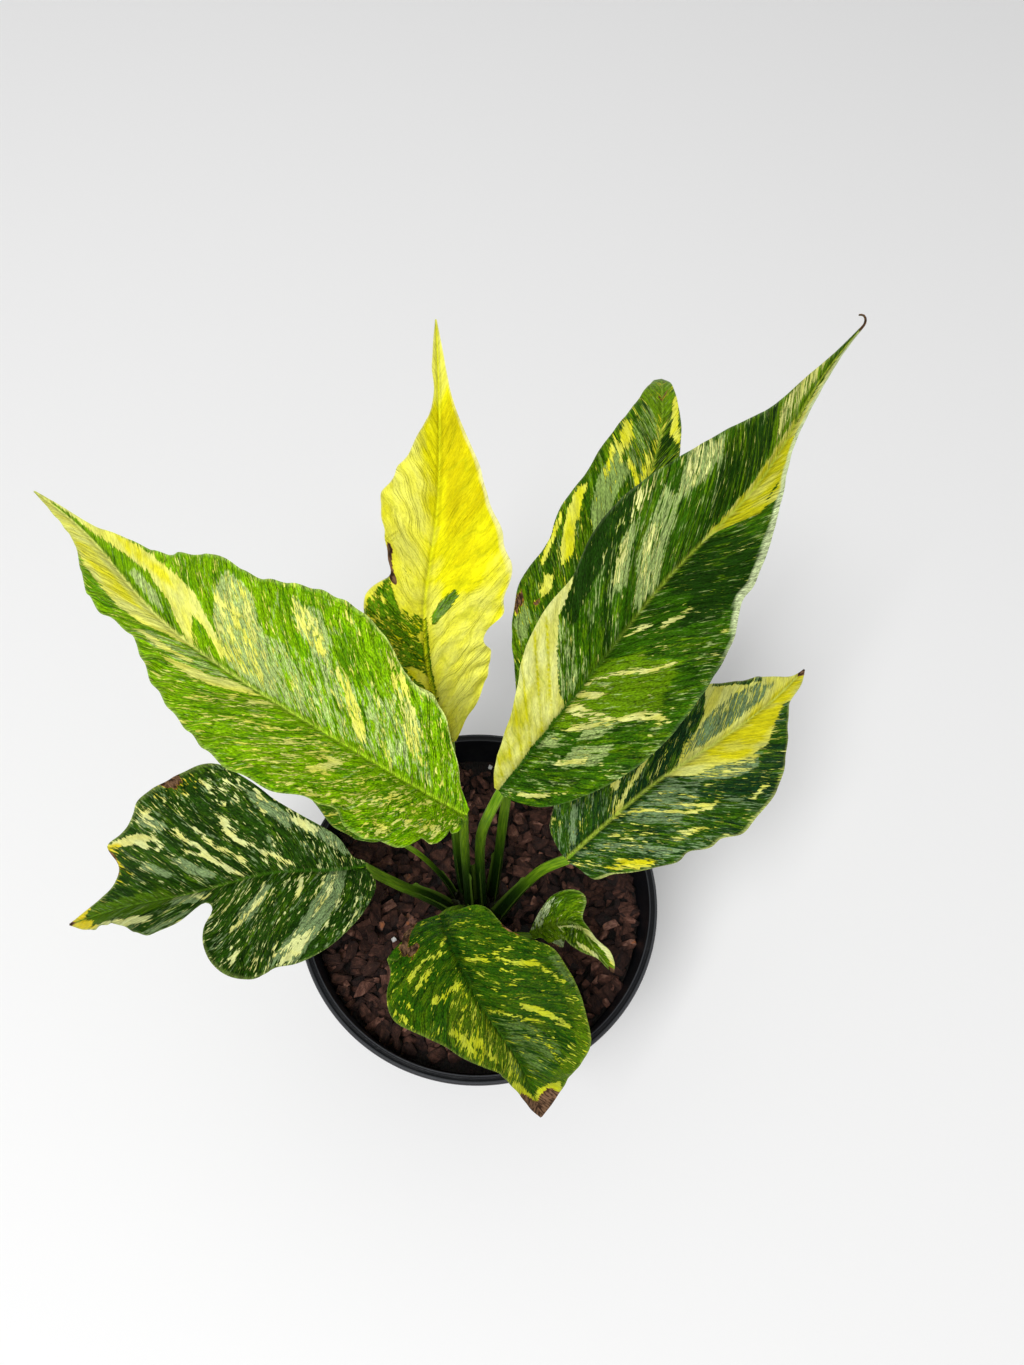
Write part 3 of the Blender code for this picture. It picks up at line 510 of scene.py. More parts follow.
# The dark leaf low on the right, with a cream middle near the tip.
RIGHT_LOW = LeafShape(
    name="right_low",
    slot="leaf_dark",
    midrib=((27.5, 0, 157), (42.5, 12.5, 170), (54, 22, 176), (72.5, 36, 180), (93, 55.5, 179),
        (103.5, 68.5, 176)),
    left=((0, 1.8), (3, 10), (10, 15.5), (22, 20), (40, 23.5), (58, 22), (73, 16.5), (84, 11), (92, 8),
        (101, 2)),
    right=((0, 1.8), (2, 6), (3.5, 11), (9, 13.5), (13, 16), (18, 19), (24, 22), (29, 23.9), (32.5, 23.4),
        (37, 25.6), (41, 26.6), (44.5, 26.2), (49, 28), (53, 28.4), (57, 27), (64, 25), (75, 18.5), (86, 9),
        (92, 4.5), (101, 3)),
    stem=((7.6, -2.2), (11, -2, 114), (16.2, 0, 130), (22.4, 0.8, 146)),
    stem_radius=2.0,
    sheath=1.3,
    sheath_end=0.58,
    roll=(10,),
    fold_left=(12,),
    fold_right=(12,),
    lean=((0.9, 2.0), (0.9, 2.0)),
    ruffle=(0.8, 9.0),
    turned=((0, 0.1), (6, 0.9), (14, 0.3), (30, 0.1), (44, 0.5), (64, 0.3), (84, 0)),
    levels={PALE: 0.22, GREY: 0.32, LIME: 0.3, DARK: 0.45, YELLOW: 0.35},
    patches=(
        grey(0.65, ((2, 2), (3, 12), (5, 12), (5, 2))),
        grey(0.6, ((6, -3), (7, -20), (10, -22), (9, -3))),
        grey(0.6, ((20, -2), (20, -14), (32, -12), (40, -8), (40, -2))),
        grey(0.15, ((36, -14), (34, -24), (50, -18), (70, -10), (84, -5), (62, -9.5))),
        *mixed({DARK: 0.95, GREY: 0.1}, ((27, 0.5), (32, 4), (34, 10), (46, 12), (50, 10), (47, 6),
            (45, 0.5))),
        dark(0.85, ((36, -14), (36, -23), (50, -18), (60, -14), (60, -10), (50, -14))),
        pale(0.92, ((23, 0.5), (25, 3), (29, 6), (33, 9)), 2.0),
        pale(0.85, ((19.5, 8.5), (21, 7)), 1.8),
        pale(0.9, ((24.5, -8), (25, -13), (27, -16), (31, -16)), 1.4),
        pale(0.85, ((28.5, -12), (29.5, -15)), 1.4),
        pale(0.66, ((1.5, -13), (3, -17)), 4.4, 2.6),
        yellow(0.9, ((1, -13), (3, -17)), 6, 3),
        pale(0.66, ((14.5, -18), (18.5, -19.5)), 3, 2.2),
        pale(0.9, ((34, -21.3), (39, -20.5)), 1.0),
        pale(0.85, ((24, -2.5), (25, -7)), 1.1),
        pale(0.7, ((13, -5), (12, -9)), 1.2),
        pale(1.0, ((46, 19), (49, 13.5), (51, 10), (50, 7.5), (46.5, 4), (47, 0), (110, 0), (110, 3),
            (80, 10), (60, 15))),
        *mixed({PALE: 0.4, GREY: 0.93}, ((48, 1.4), (49, 6), (54, 9), (62, 10), (72, 8.4), (82, 5.4),
            (88, 3.6), (80, 2.6), (70, 2.2), (60, 1.6))),
        pale(1.0, ((42, 0.2), (43, -5), (49, -7), (53, -9.5), (60, -10), (66, -8), (76, -5.3),
            (84, -3.4), (90, -5), (110, -1.5), (110, 0.2))),
        *mixed({PALE: 0.45, GREY: 0.85}, ((41, -6), (43, -13), (48, -14), (55, -11), (52, -8),
            (46, -6))),
        pale(0.15, ((50, 15.6), (60, 12.4), (67, 9.9), (78, 7.2), (80, 9), (68, 13), (50, 19)),
            soft=0.8),
        yellow(1.0, ((48, -1), (52, -9), (66, -8), (84, -3.5), (108, -1), (108, 1), (80, 1)),
            soft=3),
        scorch(0.75, ((104, 3), (104, -3), (116, -2), (116, 2)), soft=4),
    ),
    finish=LeafFinish(dark=(0.006, 0.036, 0.009), green=(0.024, 0.086, 0.003), lime=(0.1, 0.22, 0.004),
        grey=(0.22, 0.33, 0.15), cream=(0.8, 0.83, 0.25), yellow=(0.74, 0.68, 0.01), rib=(0.4, 0.52, 0.05),
        rib_tip=(0.56, 0.64, 0.1), edge=(0.56, 0.62, 0.18), roughness=0.33, fleck=(0.42, 1.8), veined=0.3),
)

# The dark leaf low on the left, with two torn notches.
LEFT_LOW = LeafShape(
    name="left_low",
    slot="leaf_dark",
    midrib=((-36.5, -8.5, 157), (-46, -12, 161), (-64, -15, 162), (-86.5, -21.5, 157), (-109.5, -25.5, 148),
        (-133, -30, 134)),
    left=((0, 1.8), (-1, 7), (3, 13.5), (12, 24), (19, 29.5), (31, 32), (41, 33), (47, 29), (50, 20),
        (49.5, 13), (48.5, 8.5), (50.5, 6), (54, 9), (60, 15.5), (66, 17), (75, 12), (86, 8), (95, 5.5)),
    right=((0, 1.8), (4, 3.5), (8, 9), (22, 18), (31, 27), (38, 36.5), (44, 38), (56, 36), (66, 32),
        (73, 24), (80, 20.5), (79, 15.5), (79.5, 11), (83, 7.5), (90, 4.5)),
    stem=((-9, -3), (-16.5, -5, 118), (-25, -7, 134)),
    stem_radius=2.0,
    sheath=1.3,
    sheath_end=0.55,
    fold_left=(14, 10, 45, 25),
    fold_right=(20, 28, 40, 40),
    lean=((0.4, 1.4), (0.3, 1.6)),
    levels={PALE: 0.25, GREY: 0.22, LIME: 0.3, DARK: 0.5, YELLOW: 0.1},
    patches=(
        grey(0.9, ((6, 0), (6, 20), (7, 30), (13, 29), (11, 18), (12, 0))),
        grey(0.75, ((27, 4), (26, 12), (31, 18), (32, 10), (30, 4))),
        grey(0.85, ((50, 1), (50, 5), (60, 3), (62, 0))),
        grey(0.7, ((47, 7), (48, 16), (52, 16), (50, 7))),
        grey(0.9, ((3, -5), (6, -11), (12, -15), (14, -13), (10, -9), (5, -4))),
        grey(0.9, ((15, -15), (17, -22), (19, -27), (20, -20), (18, -14))),
        grey(0.85, ((44, -4), (46, -12), (50, -12), (50, -6), (46, -3))),
        grey(0.85, ((54, -8), (56, -13), (60, -11), (56, -6))),
        grey(0.8, ((40, -22), (42, -28), (46, -26), (44, -21))),
        lime(0.8, ((62, 8), (96, 3), (96, -3), (62, -3))),
        pale(0.12, ((62, 8), (96, 3), (96, -3), (62, -6))),
        pale(0.82, ((8, 21), (8, 26), (10.5, 30.5)), 1.7),
        pale(0.8, ((9.5, 22), (10.5, 25), (13, 27.5)), 1.2),
        pale(0.74, ((25, 6), (27, 7.2)), 1.2),
        pale(0.78, ((28, 8), (30.3, 14), (31, 17.5)), 1.2),
        pale(0.78, ((29.7, 3.5), (29.2, 9)), 1.2),
        pale(0.78, ((16, 9), (18.5, 3.5)), 1.0),
        pale(0.74, ((19.7, 1.5), (20.2, 6)), 0.8),
        pale(0.66, ((13.3, 0.5), (12, 9)), 0.9),
        pale(0.66, ((9, 2), (9, 12), (9.5, 19)), 0.8),
        pale(0.74, ((26, 24), (25.5, 28)), 0.8),
        pale(0.7, ((27, 20), (28, 23)), 0.8),
        pale(0.74, ((37, 9), (38, 10)), 1.0),
        pale(0.78, ((48, 4), (55, 0.6)), 0.9),
        pale(1.0, ((56, 12), (58, 8.5), (62, 9), (70, 8.5), (66, 11), (60, 13.2))),
        pale(0.82, ((64, 10.5), (80, 6.5), (96, 4)), 1.2),
        pale(0.82, ((22, -2), (27, -6.5), (28, -9), (30, -11), (30, -15)), 1.2),
        pale(0.74, ((30, -15), (28, -19), (27.5, -22)), 1.0),
        pale(0.75, ((33.5, -4), (34, -8), (36, -12), (35, -16), (35, -20)), 1.1),
        pale(0.82, ((38, -1), (39.5, -5), (40.5, -10), (43, -13.5)), 1.3),
        pale(0.82, ((40, -10), (38.5, -13), (40.5, -17), (39.5, -21)), 1.3),
        pale(0.82, ((46.5, -19.5), (47, -17), (49, -16)), 0.9),
        pale(1.0, ((46, -20), (48, -22), (52, -21.8), (60, -20.5), (58, -19.5), (52.5, -19),
            (51.5, -16.5), (50.3, -17), (49.5, -19))),
        pale(0.7, ((41.5, -28), (44, -26), (43.5, -23)), 1.2),
        pale(0.95, ((9, -12.5), (12, -15), (17, -17), (16, -15), (12, -12))),
        pale(0.61, ((20, -18), (18, -25), (19, -31)), 0.9),
        pale(0.57, ((23, -20), (22, -28), (24, -33)), 0.9),
        pale(0.57, ((27, -36), (28.5, -34.5), (33, -35)), 1.2),
        yellow(1.0, ((23, -40), (24, -31), (38, -31), (38, -40))),
        scorch(0.95, ((26.5, -38), (27.4, -34.4), (30, -33.2), (32.4, -34.6), (33, -38))),
        pale(0.49, ((59.5, -19), (62.5, -14.5), (70, -9.8)), 0.9),
        yellow(1.0, ((56, -20), (60, -12), (72, -6), (72, -12), (60, -22))),
        scorch(0.9, ((60.5, -19.5), (62.5, -15.5), (68, -11), (72, -9.5)), 1.2),
        pale(1.0, ((86, 6), (90, 2.5), (100, 0), (90, -3), (90, -5), (110, -2), (110, 2))),
        yellow(1.0, ((84, 7), (84, -6), (112, -3), (112, 3)), soft=5),
        scorch(0.95, ((103, 2), (103, -2), (112, -1), (112, 1))),
    ),
    finish=LeafFinish(dark=(0.006, 0.029, 0.001), green=(0.018, 0.066, 0.002), lime=(0.075, 0.165, 0.003),
        grey=(0.23, 0.33, 0.14), cream=(0.76, 0.8, 0.33), yellow=(0.76, 0.62, 0.02),
        thin=(0.18, 0.27, 0.04), rib=(0.03, 0.11, 0.003), rib_tip=(0.11, 0.23, 0.012), roughness=0.32,
        fleck=(0.36, 1.8)),
)

# The deep green leaf at the front, whose dried tip hangs over the rim.
FRONT = LeafShape(
    name="front",
    slot="leaf_deep",
    midrib=((-10.5, -22, 157), (-7.5, -30, 161), (-1.5, -40, 160), (6, -49.5, 153), (16.5, -59, 140),
        (27, -73.5, 118)),
    left=((0, 1.8), (2, 6), (6, 14), (13, 16.5), (20, 21), (25, 26.5), (31, 28), (46, 27.5), (56, 25),
        (63, 21.5), (68, 14.5), (74, 9), (79, 4)),
    right=((0, 1.8), (2, 7), (7, 13.5), (12, 17.5), (11, 20.5), (13, 20.5), (16, 23.5), (21, 26.5),
        (25, 24.5), (32, 18.5), (41, 14), (52, 9), (63, 6), (75, 3.3)),
    stem=((-2.6, -5.6), (-4, -8.5, 118), (-7.5, -14.5, 140)),
    stem_radius=1.7,
    roll=(10,),
    fold_left=(12,),
    fold_right=(20, 35, 35, 35),
    quilt=(0.3, 5.0),
    lean=((0.5, 1.6), (0.3, 1.0)),
    levels={PALE: 0.2, GREY: 0.06, LIME: 0.4, DARK: 0.3, YELLOW: 0.75},
    patches=(
        # The dark band along the midrib's foot is a painted shadow.
        dark(1.0, ((0, -1.2), (0, 2.4), (22, 2), (26, 0), (22, -1))),
        grey(0.55, ((36, 1), (36, 8), (44, 14), (54, 9), (62, 2), (50, 0.5)), soft=4),
        dark(0.7, ((36, 1), (36, 8), (42, 20), (54, 9), (62, 2), (50, 0.5)), soft=4),
        grey(0.9, ((11, 25), (12, 28), (22, 27.5), (24, 26), (17, 25))),
        grey(0.7, ((50, -3), (56, -1), (62, -1), (58, -4))),
        lime(0.9, ((20, -3), (24, -16), (45, -10), (62, -5), (62, -1), (36, -1))),
        lime(0.8, ((22, 24), (30, 26), (40, 22), (60, 10), (66, 5), (56, 8), (40, 19))),
        pale(0.36, ((20, -3), (24, -16), (45, -10), (60, -5), (56, -1), (36, -1))),
        pale(0.82, ((15.2, 10), (16.8, 2.5)), 0.9),
        pale(0.75, ((11, 16), (13, 11)), 0.9),
        pale(0.82, ((13.3, 20.5), (14.5, 19), (15, 15), (15, 12.5)), 1.3),
        pale(0.74, ((15, 21), (18, 23), (22.5, 25)), 1.3),
        pale(0.74, ((17.7, 10), (18.3, 14)), 0.9),
        pale(0.66, ((5, 10), (5.2, 14)), 0.9),
        pale(0.7, ((27.6, 10.5), (27.6, 13)), 0.9),
        pale(0.7, ((19, 2.8), (19.5, 5.2)), 0.7),
        pale(0.66, ((24.3, 7.5), (25, 5.2)), 0.6),
        pale(0.74, ((20.5, 13.5), (21, 12)), 0.8),
        pale(0.82, ((29.3, 10), (31, 14.5), (34, 17), (36, 19.8), (37.6, 18.3), (34.5, 14),
            (31.8, 10))),
        pale(0.82, ((36.6, 13), (36.4, 9), (35.2, 5), (34.4, 1.5)), 1.2),
        pale(0.7, ((42, 17.3), (43.2, 16)), 0.9),
        pale(0.7, ((43, 9.3), (51, 11.7)), 0.9),
        pale(0.57, ((43, 6), (45.5, 6)), 0.7),
        pale(0.74, ((9, -1), (10.2, -3)), 0.9),
        pale(0.7, ((11.6, -4), (10.2, -9), (9.8, -16)), 1.1),
        pale(0.66, ((13.4, -8), (12.2, -13), (12.2, -18)), 1.0),
        pale(0.7, ((20, -7), (22, -3)), 1.2),
        pale(0.66, ((17, -14), (20, -8)), 1.0),
        pale(0.78, ((33, -9), (36, -7.5)), 1.9),
        pale(0.78, ((24, -14), (28, -12), (34, -11)), 1.5),
        pale(0.74, ((40, -8), (43.5, -7)), 1.5),
        pale(0.82, ((11, -24.7), (14.5, -23.2)), 1.2),
        pale(0.7, ((12.3, -21), (13.5, -20)), 1.2),
        pale(1.0, ((58, 9.5), (62, 6), (68, 2), (74, 0), (66, -2.4), (58, -4.6), (58, -6.5),
            (90, -3), (90, 3), (66, 8))),
        yellow(1.0, ((54, 12), (54, -8), (90, -3), (90, 3)), soft=3),
        scorch(1.0, ((63.5, 10), (64.5, 5), (70, 2.2), (76, 0), (68, -2.6), (63, -4.6), (64, -7),
            (90, -3), (90, 3))),
        scorch(1.0, ((-1, -8), (1.5, -11), (5, -14.5), (6.6, -12.5), (6.2, -10.6)), 1.6),
        scorch(0.9, ((5, 17), (7, 20)), 1.2),
    ),
    finish=LeafFinish(dark=(0.006, 0.042, 0.001), green=(0.021, 0.084, 0.001), lime=(0.075, 0.15, 0.002),
        grey=(0.11, 0.19, 0.04), cream=(0.58, 0.66, 0.09), yellow=(0.56, 0.6, 0.015),
        thin=(0.16, 0.25, 0.005), rib=(0.01, 0.05, 0.001), rib_tip=(0.04, 0.12, 0.003),
        edge=(0.34, 0.44, 0.06), roughness=0.33, fleck=(0.34, 1.4)),
)

# The small curled leaf at the front right.
SMALL_FRONT = LeafShape(
    name="small_front",
    slot="leaf_lime",
    midrib=((19.5, -16, 122), (25.5, -14, 128), (34, -13.5, 132), (38.5, -19, 133), (47.5, -28, 129)),
    left=((0, 1.2), (4, 3.5), (10, 8), (16, 12.5), (18, 12.5), (19, 10), (19.2, 6), (20, 2.8), (24, 3.2),
        (30, 5.2), (35, 4)),
    right=((0, 1.2), (5, 3), (8, 6.5), (15, 9.5), (21, 8.5), (26, 7), (31, 2), (35, 1)),
    stem=((5.2, -7.4), (9, -10.5, 104), (14, -14, 114)),
    stem_radius=1.2,
    roll=(10,),
    fold_left=(30, 35, 60, 50),
    fold_right=(20, 30, 40, 40),
    wave=(0.3, 3.0),
    quilt=(0.15, 3.5),
    crinkle=0.15,
    lean=((0.7, 1.5), (0.7, 1.5)),
    levels={PALE: 0.14, GREY: 0.15, LIME: 0.45, DARK: 0.25, YELLOW: 0.25},
    patches=(
        *mixed({DARK: 0.9, GREY: 0.5}, ((0, 2), (3, 8), (6, 10), (7, 4), (4, 1))),
        dark(0.8, ((10, -2.5), (12, -8), (18, -7), (20, -4), (14, -2.5))),
        lime(1.0, ((4, -5), (9, -6), (11, -8), (12, -9.5)), 1.6),
        grey(1.0, ((4, -6), (5, -10), (10, -10), (9, -7.7), (7, -6)), soft=1.0),
        pale(0.95, ((20, 0), (20.5, 3), (22, 6), (27, 6), (35, 3), (34, 1.6), (27, 3.2), (24, 2.4),
            (24, 0)), soft=1.0),
        pale(0.97, ((11, -1.3), (14, -1.8), (17, -1.6), (20, -0.3)), 1.0, 0.8),
        pale(0.92, ((20, -5), (24, -3), (30, -1)), 1.0, 0.8),
        yellow(1.0, ((32, 2), (32, -2), (42, -1), (42, 1)), soft=3),
        scorch(0.95, ((36.3, 2), (36.3, -2), (42, -1), (42, 1)), soft=1.6),
        scorch(0.8, ((3.4, -6.5), (4.2, -8.5)), 1.4),
    ),
    finish=LeafFinish(dark=(0.018, 0.06, 0.003), green=(0.062, 0.158, 0.002), lime=(0.19, 0.335, 0.004),
        grey=(0.48, 0.58, 0.3), cream=(0.82, 0.86, 0.38), yellow=(0.8, 0.76, 0.06), rib=(0.11, 0.2, 0.01),
        rib_tip=(0.3, 0.42, 0.08), fleck=(0.34, 1.1), spacing=2.4),
)

# The small leaf under the large lime one.
HIDDEN_SMALL = LeafShape(
    name="hidden_small",
    slot="leaf_deep",
    midrib=((-29, 2, 158), (-38, 5, 167), (-50, 9, 173), (-63, 14, 174)),
    left=((0, 1.2), (6, 6), (14, 9.5), (22, 9), (32, 4)),
    right=((0, 1.2), (6, 6), (14, 9.5), (22, 9), (32, 4)),
    stem=((-9.3, 3.2), (-11.4, 3.0, 110), (-17.6, 2.6, 133), (-22.5, 2, 146)),
    stem_radius=1.0,
    wave=(0.3, 3.0),
    quilt=(0.15, 3.5),
    crinkle=0.15,
    levels={PALE: 0.28, GREY: 0.2, LIME: 0.5, YELLOW: 0.4},
    finish=LeafFinish(green=(0.06, 0.19, 0.004), fleck=(0.34, 1.1), spacing=2.4),
)

LEAVES = (LEFT_LARGE, CENTRE_YELLOW, RIGHT_LARGE, BACK_RIGHT, RIGHT_LOW, LEFT_LOW, FRONT, SMALL_FRONT,
          HIDDEN_SMALL)


@dataclass(frozen=True)
class StemFinish:
    """Colours and surface of the leaf stems.

    Attributes:
        foot: Colour near the crown, dark as painted shade among the stems' feet.
        top: Colour under the blade.
        light: Colour of the light streaks towards the top, partly painted highlights.
        wing: Colour of the sheath's thin edge.
        roughness: Roughness of the skin.
    """

    foot: Colour = (0.005, 0.020, 0.001)
    top: Colour = (0.075, 0.210, 0.002)
    light: Colour = (0.300, 0.480, 0.012)
    wing: Colour = (0.120, 0.220, 0.020)
    roughness: float = 0.34


@dataclass(frozen=True)
class BarkFinish:
    """Colours and surface of bark, from the near-black bed, which is painted shade between the chips, to
    the lightest chips.

    Attributes:
        tones: Colours from chip to chip, each with the tone at which it starts.
        roughness: Roughness of the broken wood.
        fibre: Width and length of the fibres.
    """

    tones: tuple[tuple[float, Colour], ...] = (
        (0.0, (0.004, 0.003, 0.002)), (0.15, (0.014, 0.006, 0.005)), (0.45, (0.044, 0.018, 0.012)),
        (0.70, (0.120, 0.050, 0.034)), (0.90, (0.300, 0.150, 0.110)), (1.0, (0.400, 0.140, 0.060)),
    )
    roughness: float = 0.8
    fibre: tuple[float, float] = (0.35, 2.6)


@dataclass(frozen=True)
class PlasticFinish:
    """Colour and surface of the pot's plastic.

    Attributes:
        colour: Colour of the clean plastic.
        dust: Colour of the dust and scuffs on it.
        rim_highlight: Colour of the rim's top, painted lighter as a highlight.
        roughness: Roughness of the clean plastic.
        scuffed: Roughness where it is scuffed.
    """

    colour: Colour = (0.004, 0.0045, 0.006)
    dust: Colour = (0.030, 0.030, 0.030)
    rim_highlight: Colour = (0.045, 0.047, 0.052)
    roughness: float = 0.40
    scuffed: float = 0.62


@dataclass(frozen=True)
class MixFinish:
    """Colours and surface of the potting mix, or of the white grains in it.

    Attributes:
        dark: Colour of the wet crumbs.
        light: Colour of the dry crumbs and fibres.
        roughness: Roughness of the crumbs.
        crumb: Size of a crumb.
    """

    dark: Colour = (0.012, 0.008, 0.006)
    light: Colour = (0.075, 0.048, 0.028)
    roughness: float = 0.95
    crumb: float = 2.2


class Signal:
    """What comes out of a node. Sums are written on it as on a number."""

    def __init__(self, graph: "Graph", socket: bpy.types.NodeSocket) -> None:
        """Hold an output and the graph that it belongs to."""
        self.graph, self.socket = graph, socket

    def beside(self, name: str) -> "Signal":
        """Another output of the same node."""
        return Signal(self.graph, self.socket.node.outputs[name])

    def __add__(self, other: object) -> "Signal":
        """Add."""
        return self.graph.math("ADD", self, other)

    def __mul__(self, other: object) -> "Signal":
        """Multiply."""
        return self.graph.math("MULTIPLY", self, other)

    def __sub__(self, other: object) -> "Signal":
        """Take away."""
        return self.graph.math("SUBTRACT", self, other)

    def __rsub__(self, other: object) -> "Signal":
        """Take away from a number."""
        return self.graph.math("SUBTRACT", other, self)

    __radd__, __rmul__ = __add__, __mul__


class Graph:
    """Nodes of one material or node group, made and wired with short calls."""

    def __init__(self, tree: bpy.types.NodeTree) -> None:
        """Work on a node tree."""
        self.tree = tree

    def put(self, socket: bpy.types.NodeSocket, value: object) -> None:
        """Set an input, or link it.

        Args:
            socket: The input.
            value: A number, a colour, a vector or the signal to link.
        """
        if isinstance(value, Signal):
            self.tree.links.new(value.socket, socket)
        elif socket.type == "RGBA":
            socket.default_value = (*value, 1.0)
        else:
            socket.default_value = value

    def node(self, kind: str, inputs: dict, output: int | str = 0, **settings: object) -> Signal:
        """Add a node.

        Args:
            kind: The node's type, without its ShaderNode prefix.
            inputs: Values or signals for its inputs, by name or number.
            output: The output to read, by name or number.
            settings: Settings of the node.

        Returns:
            That output.
        """
        made = self.tree.nodes.new(f"ShaderNode{kind}")
        for name, value in settings.items():
            setattr(made, name, value)
        for name, value in inputs.items():
            self.put(made.inputs[name], value)
        return Signal(self, made.outputs[output])

    def math(self, operation: str, first: object, second: object, clamp: bool = False) -> Signal:
        """Result of a sum on two numbers."""
        return self.node("Math", {0: first, 1: second}, operation=operation, use_clamp=clamp)

    def vector(self, operation: str, first: object, second: object) -> Signal:
        """Result of a sum on two vectors."""
        return self.node("VectorMath", {0: first, 1: second}, operation=operation)

    def brighten(self, colour: Signal, gain: Signal) -> Signal:
        """Multiply a colour by a number."""
        return self.node("VectorMath", {0: colour, 3: gain}, operation="SCALE")

    def combine(self, *parts: object) -> Signal:
        """Vector of three numbers."""
        return self.node("CombineXYZ", dict(enumerate(parts)))

    def mix(self, share: object, first: object, second: object) -> Signal:
        """Blend of two colours."""
        return self.node("Mix", {0: share, 6: first, 7: second}, 2, data_type="RGBA")

    def layered(self, base: object, *layers: tuple[object, object]) -> Signal:
        """Lay colours over a base, each given with the share that it covers."""
        for share, colour in layers:
            base = self.mix(share, base, colour)
        return base

    def span(self, value: object, low: object, high: object, start: object = 0.0,
             end: object = 1.0, smooth: bool = True) -> Signal:
        """Read a value between two limits as a share.

        Args:
            value: The value.
            low: Limit that gives start.
            high: Limit that gives end.
            start: Result at the low limit.
            end: Result at the high limit.
            smooth: Whether the result eases in and out.

        Returns:
            The result, held at its ends outside the limits.
        """
        return self.node("MapRange", {0: value, 1: low, 2: high, 3: start, 4: end},
                         interpolation_type="SMOOTHSTEP" if smooth else "LINEAR")

    def reading(self, name: str, output: str = "Fac") -> Signal:
        """Reading of a mesh attribute, as a number or as a vector."""
        return self.node("Attribute", {}, output, attribute_name=name)

    def own_place(self) -> Signal:
        """Place in the piece's own space, in millimetres."""
        return self.vector("DIVIDE", self.node("TexCoord", {}, "Object"), (MM, MM, MM))

    def noise(self, place: Signal, scale: float, detail: float, plane: bool = True) -> Signal:
        """Noise at a place, in a plane or in space."""
        return self.node("TexNoise", {"Vector": place, "Scale": scale, "Detail": detail},
                         noise_dimensions="2D" if plane else "3D")

    def effect(self, tree: bpy.types.NodeTree, **inputs: object) -> Signal:
        """Place an effect's group, with values for its inputs by name, and read it."""
        values = {name.capitalize(): value for name, value in inputs.items()}
        return self.node("Group", values, node_tree=tree)


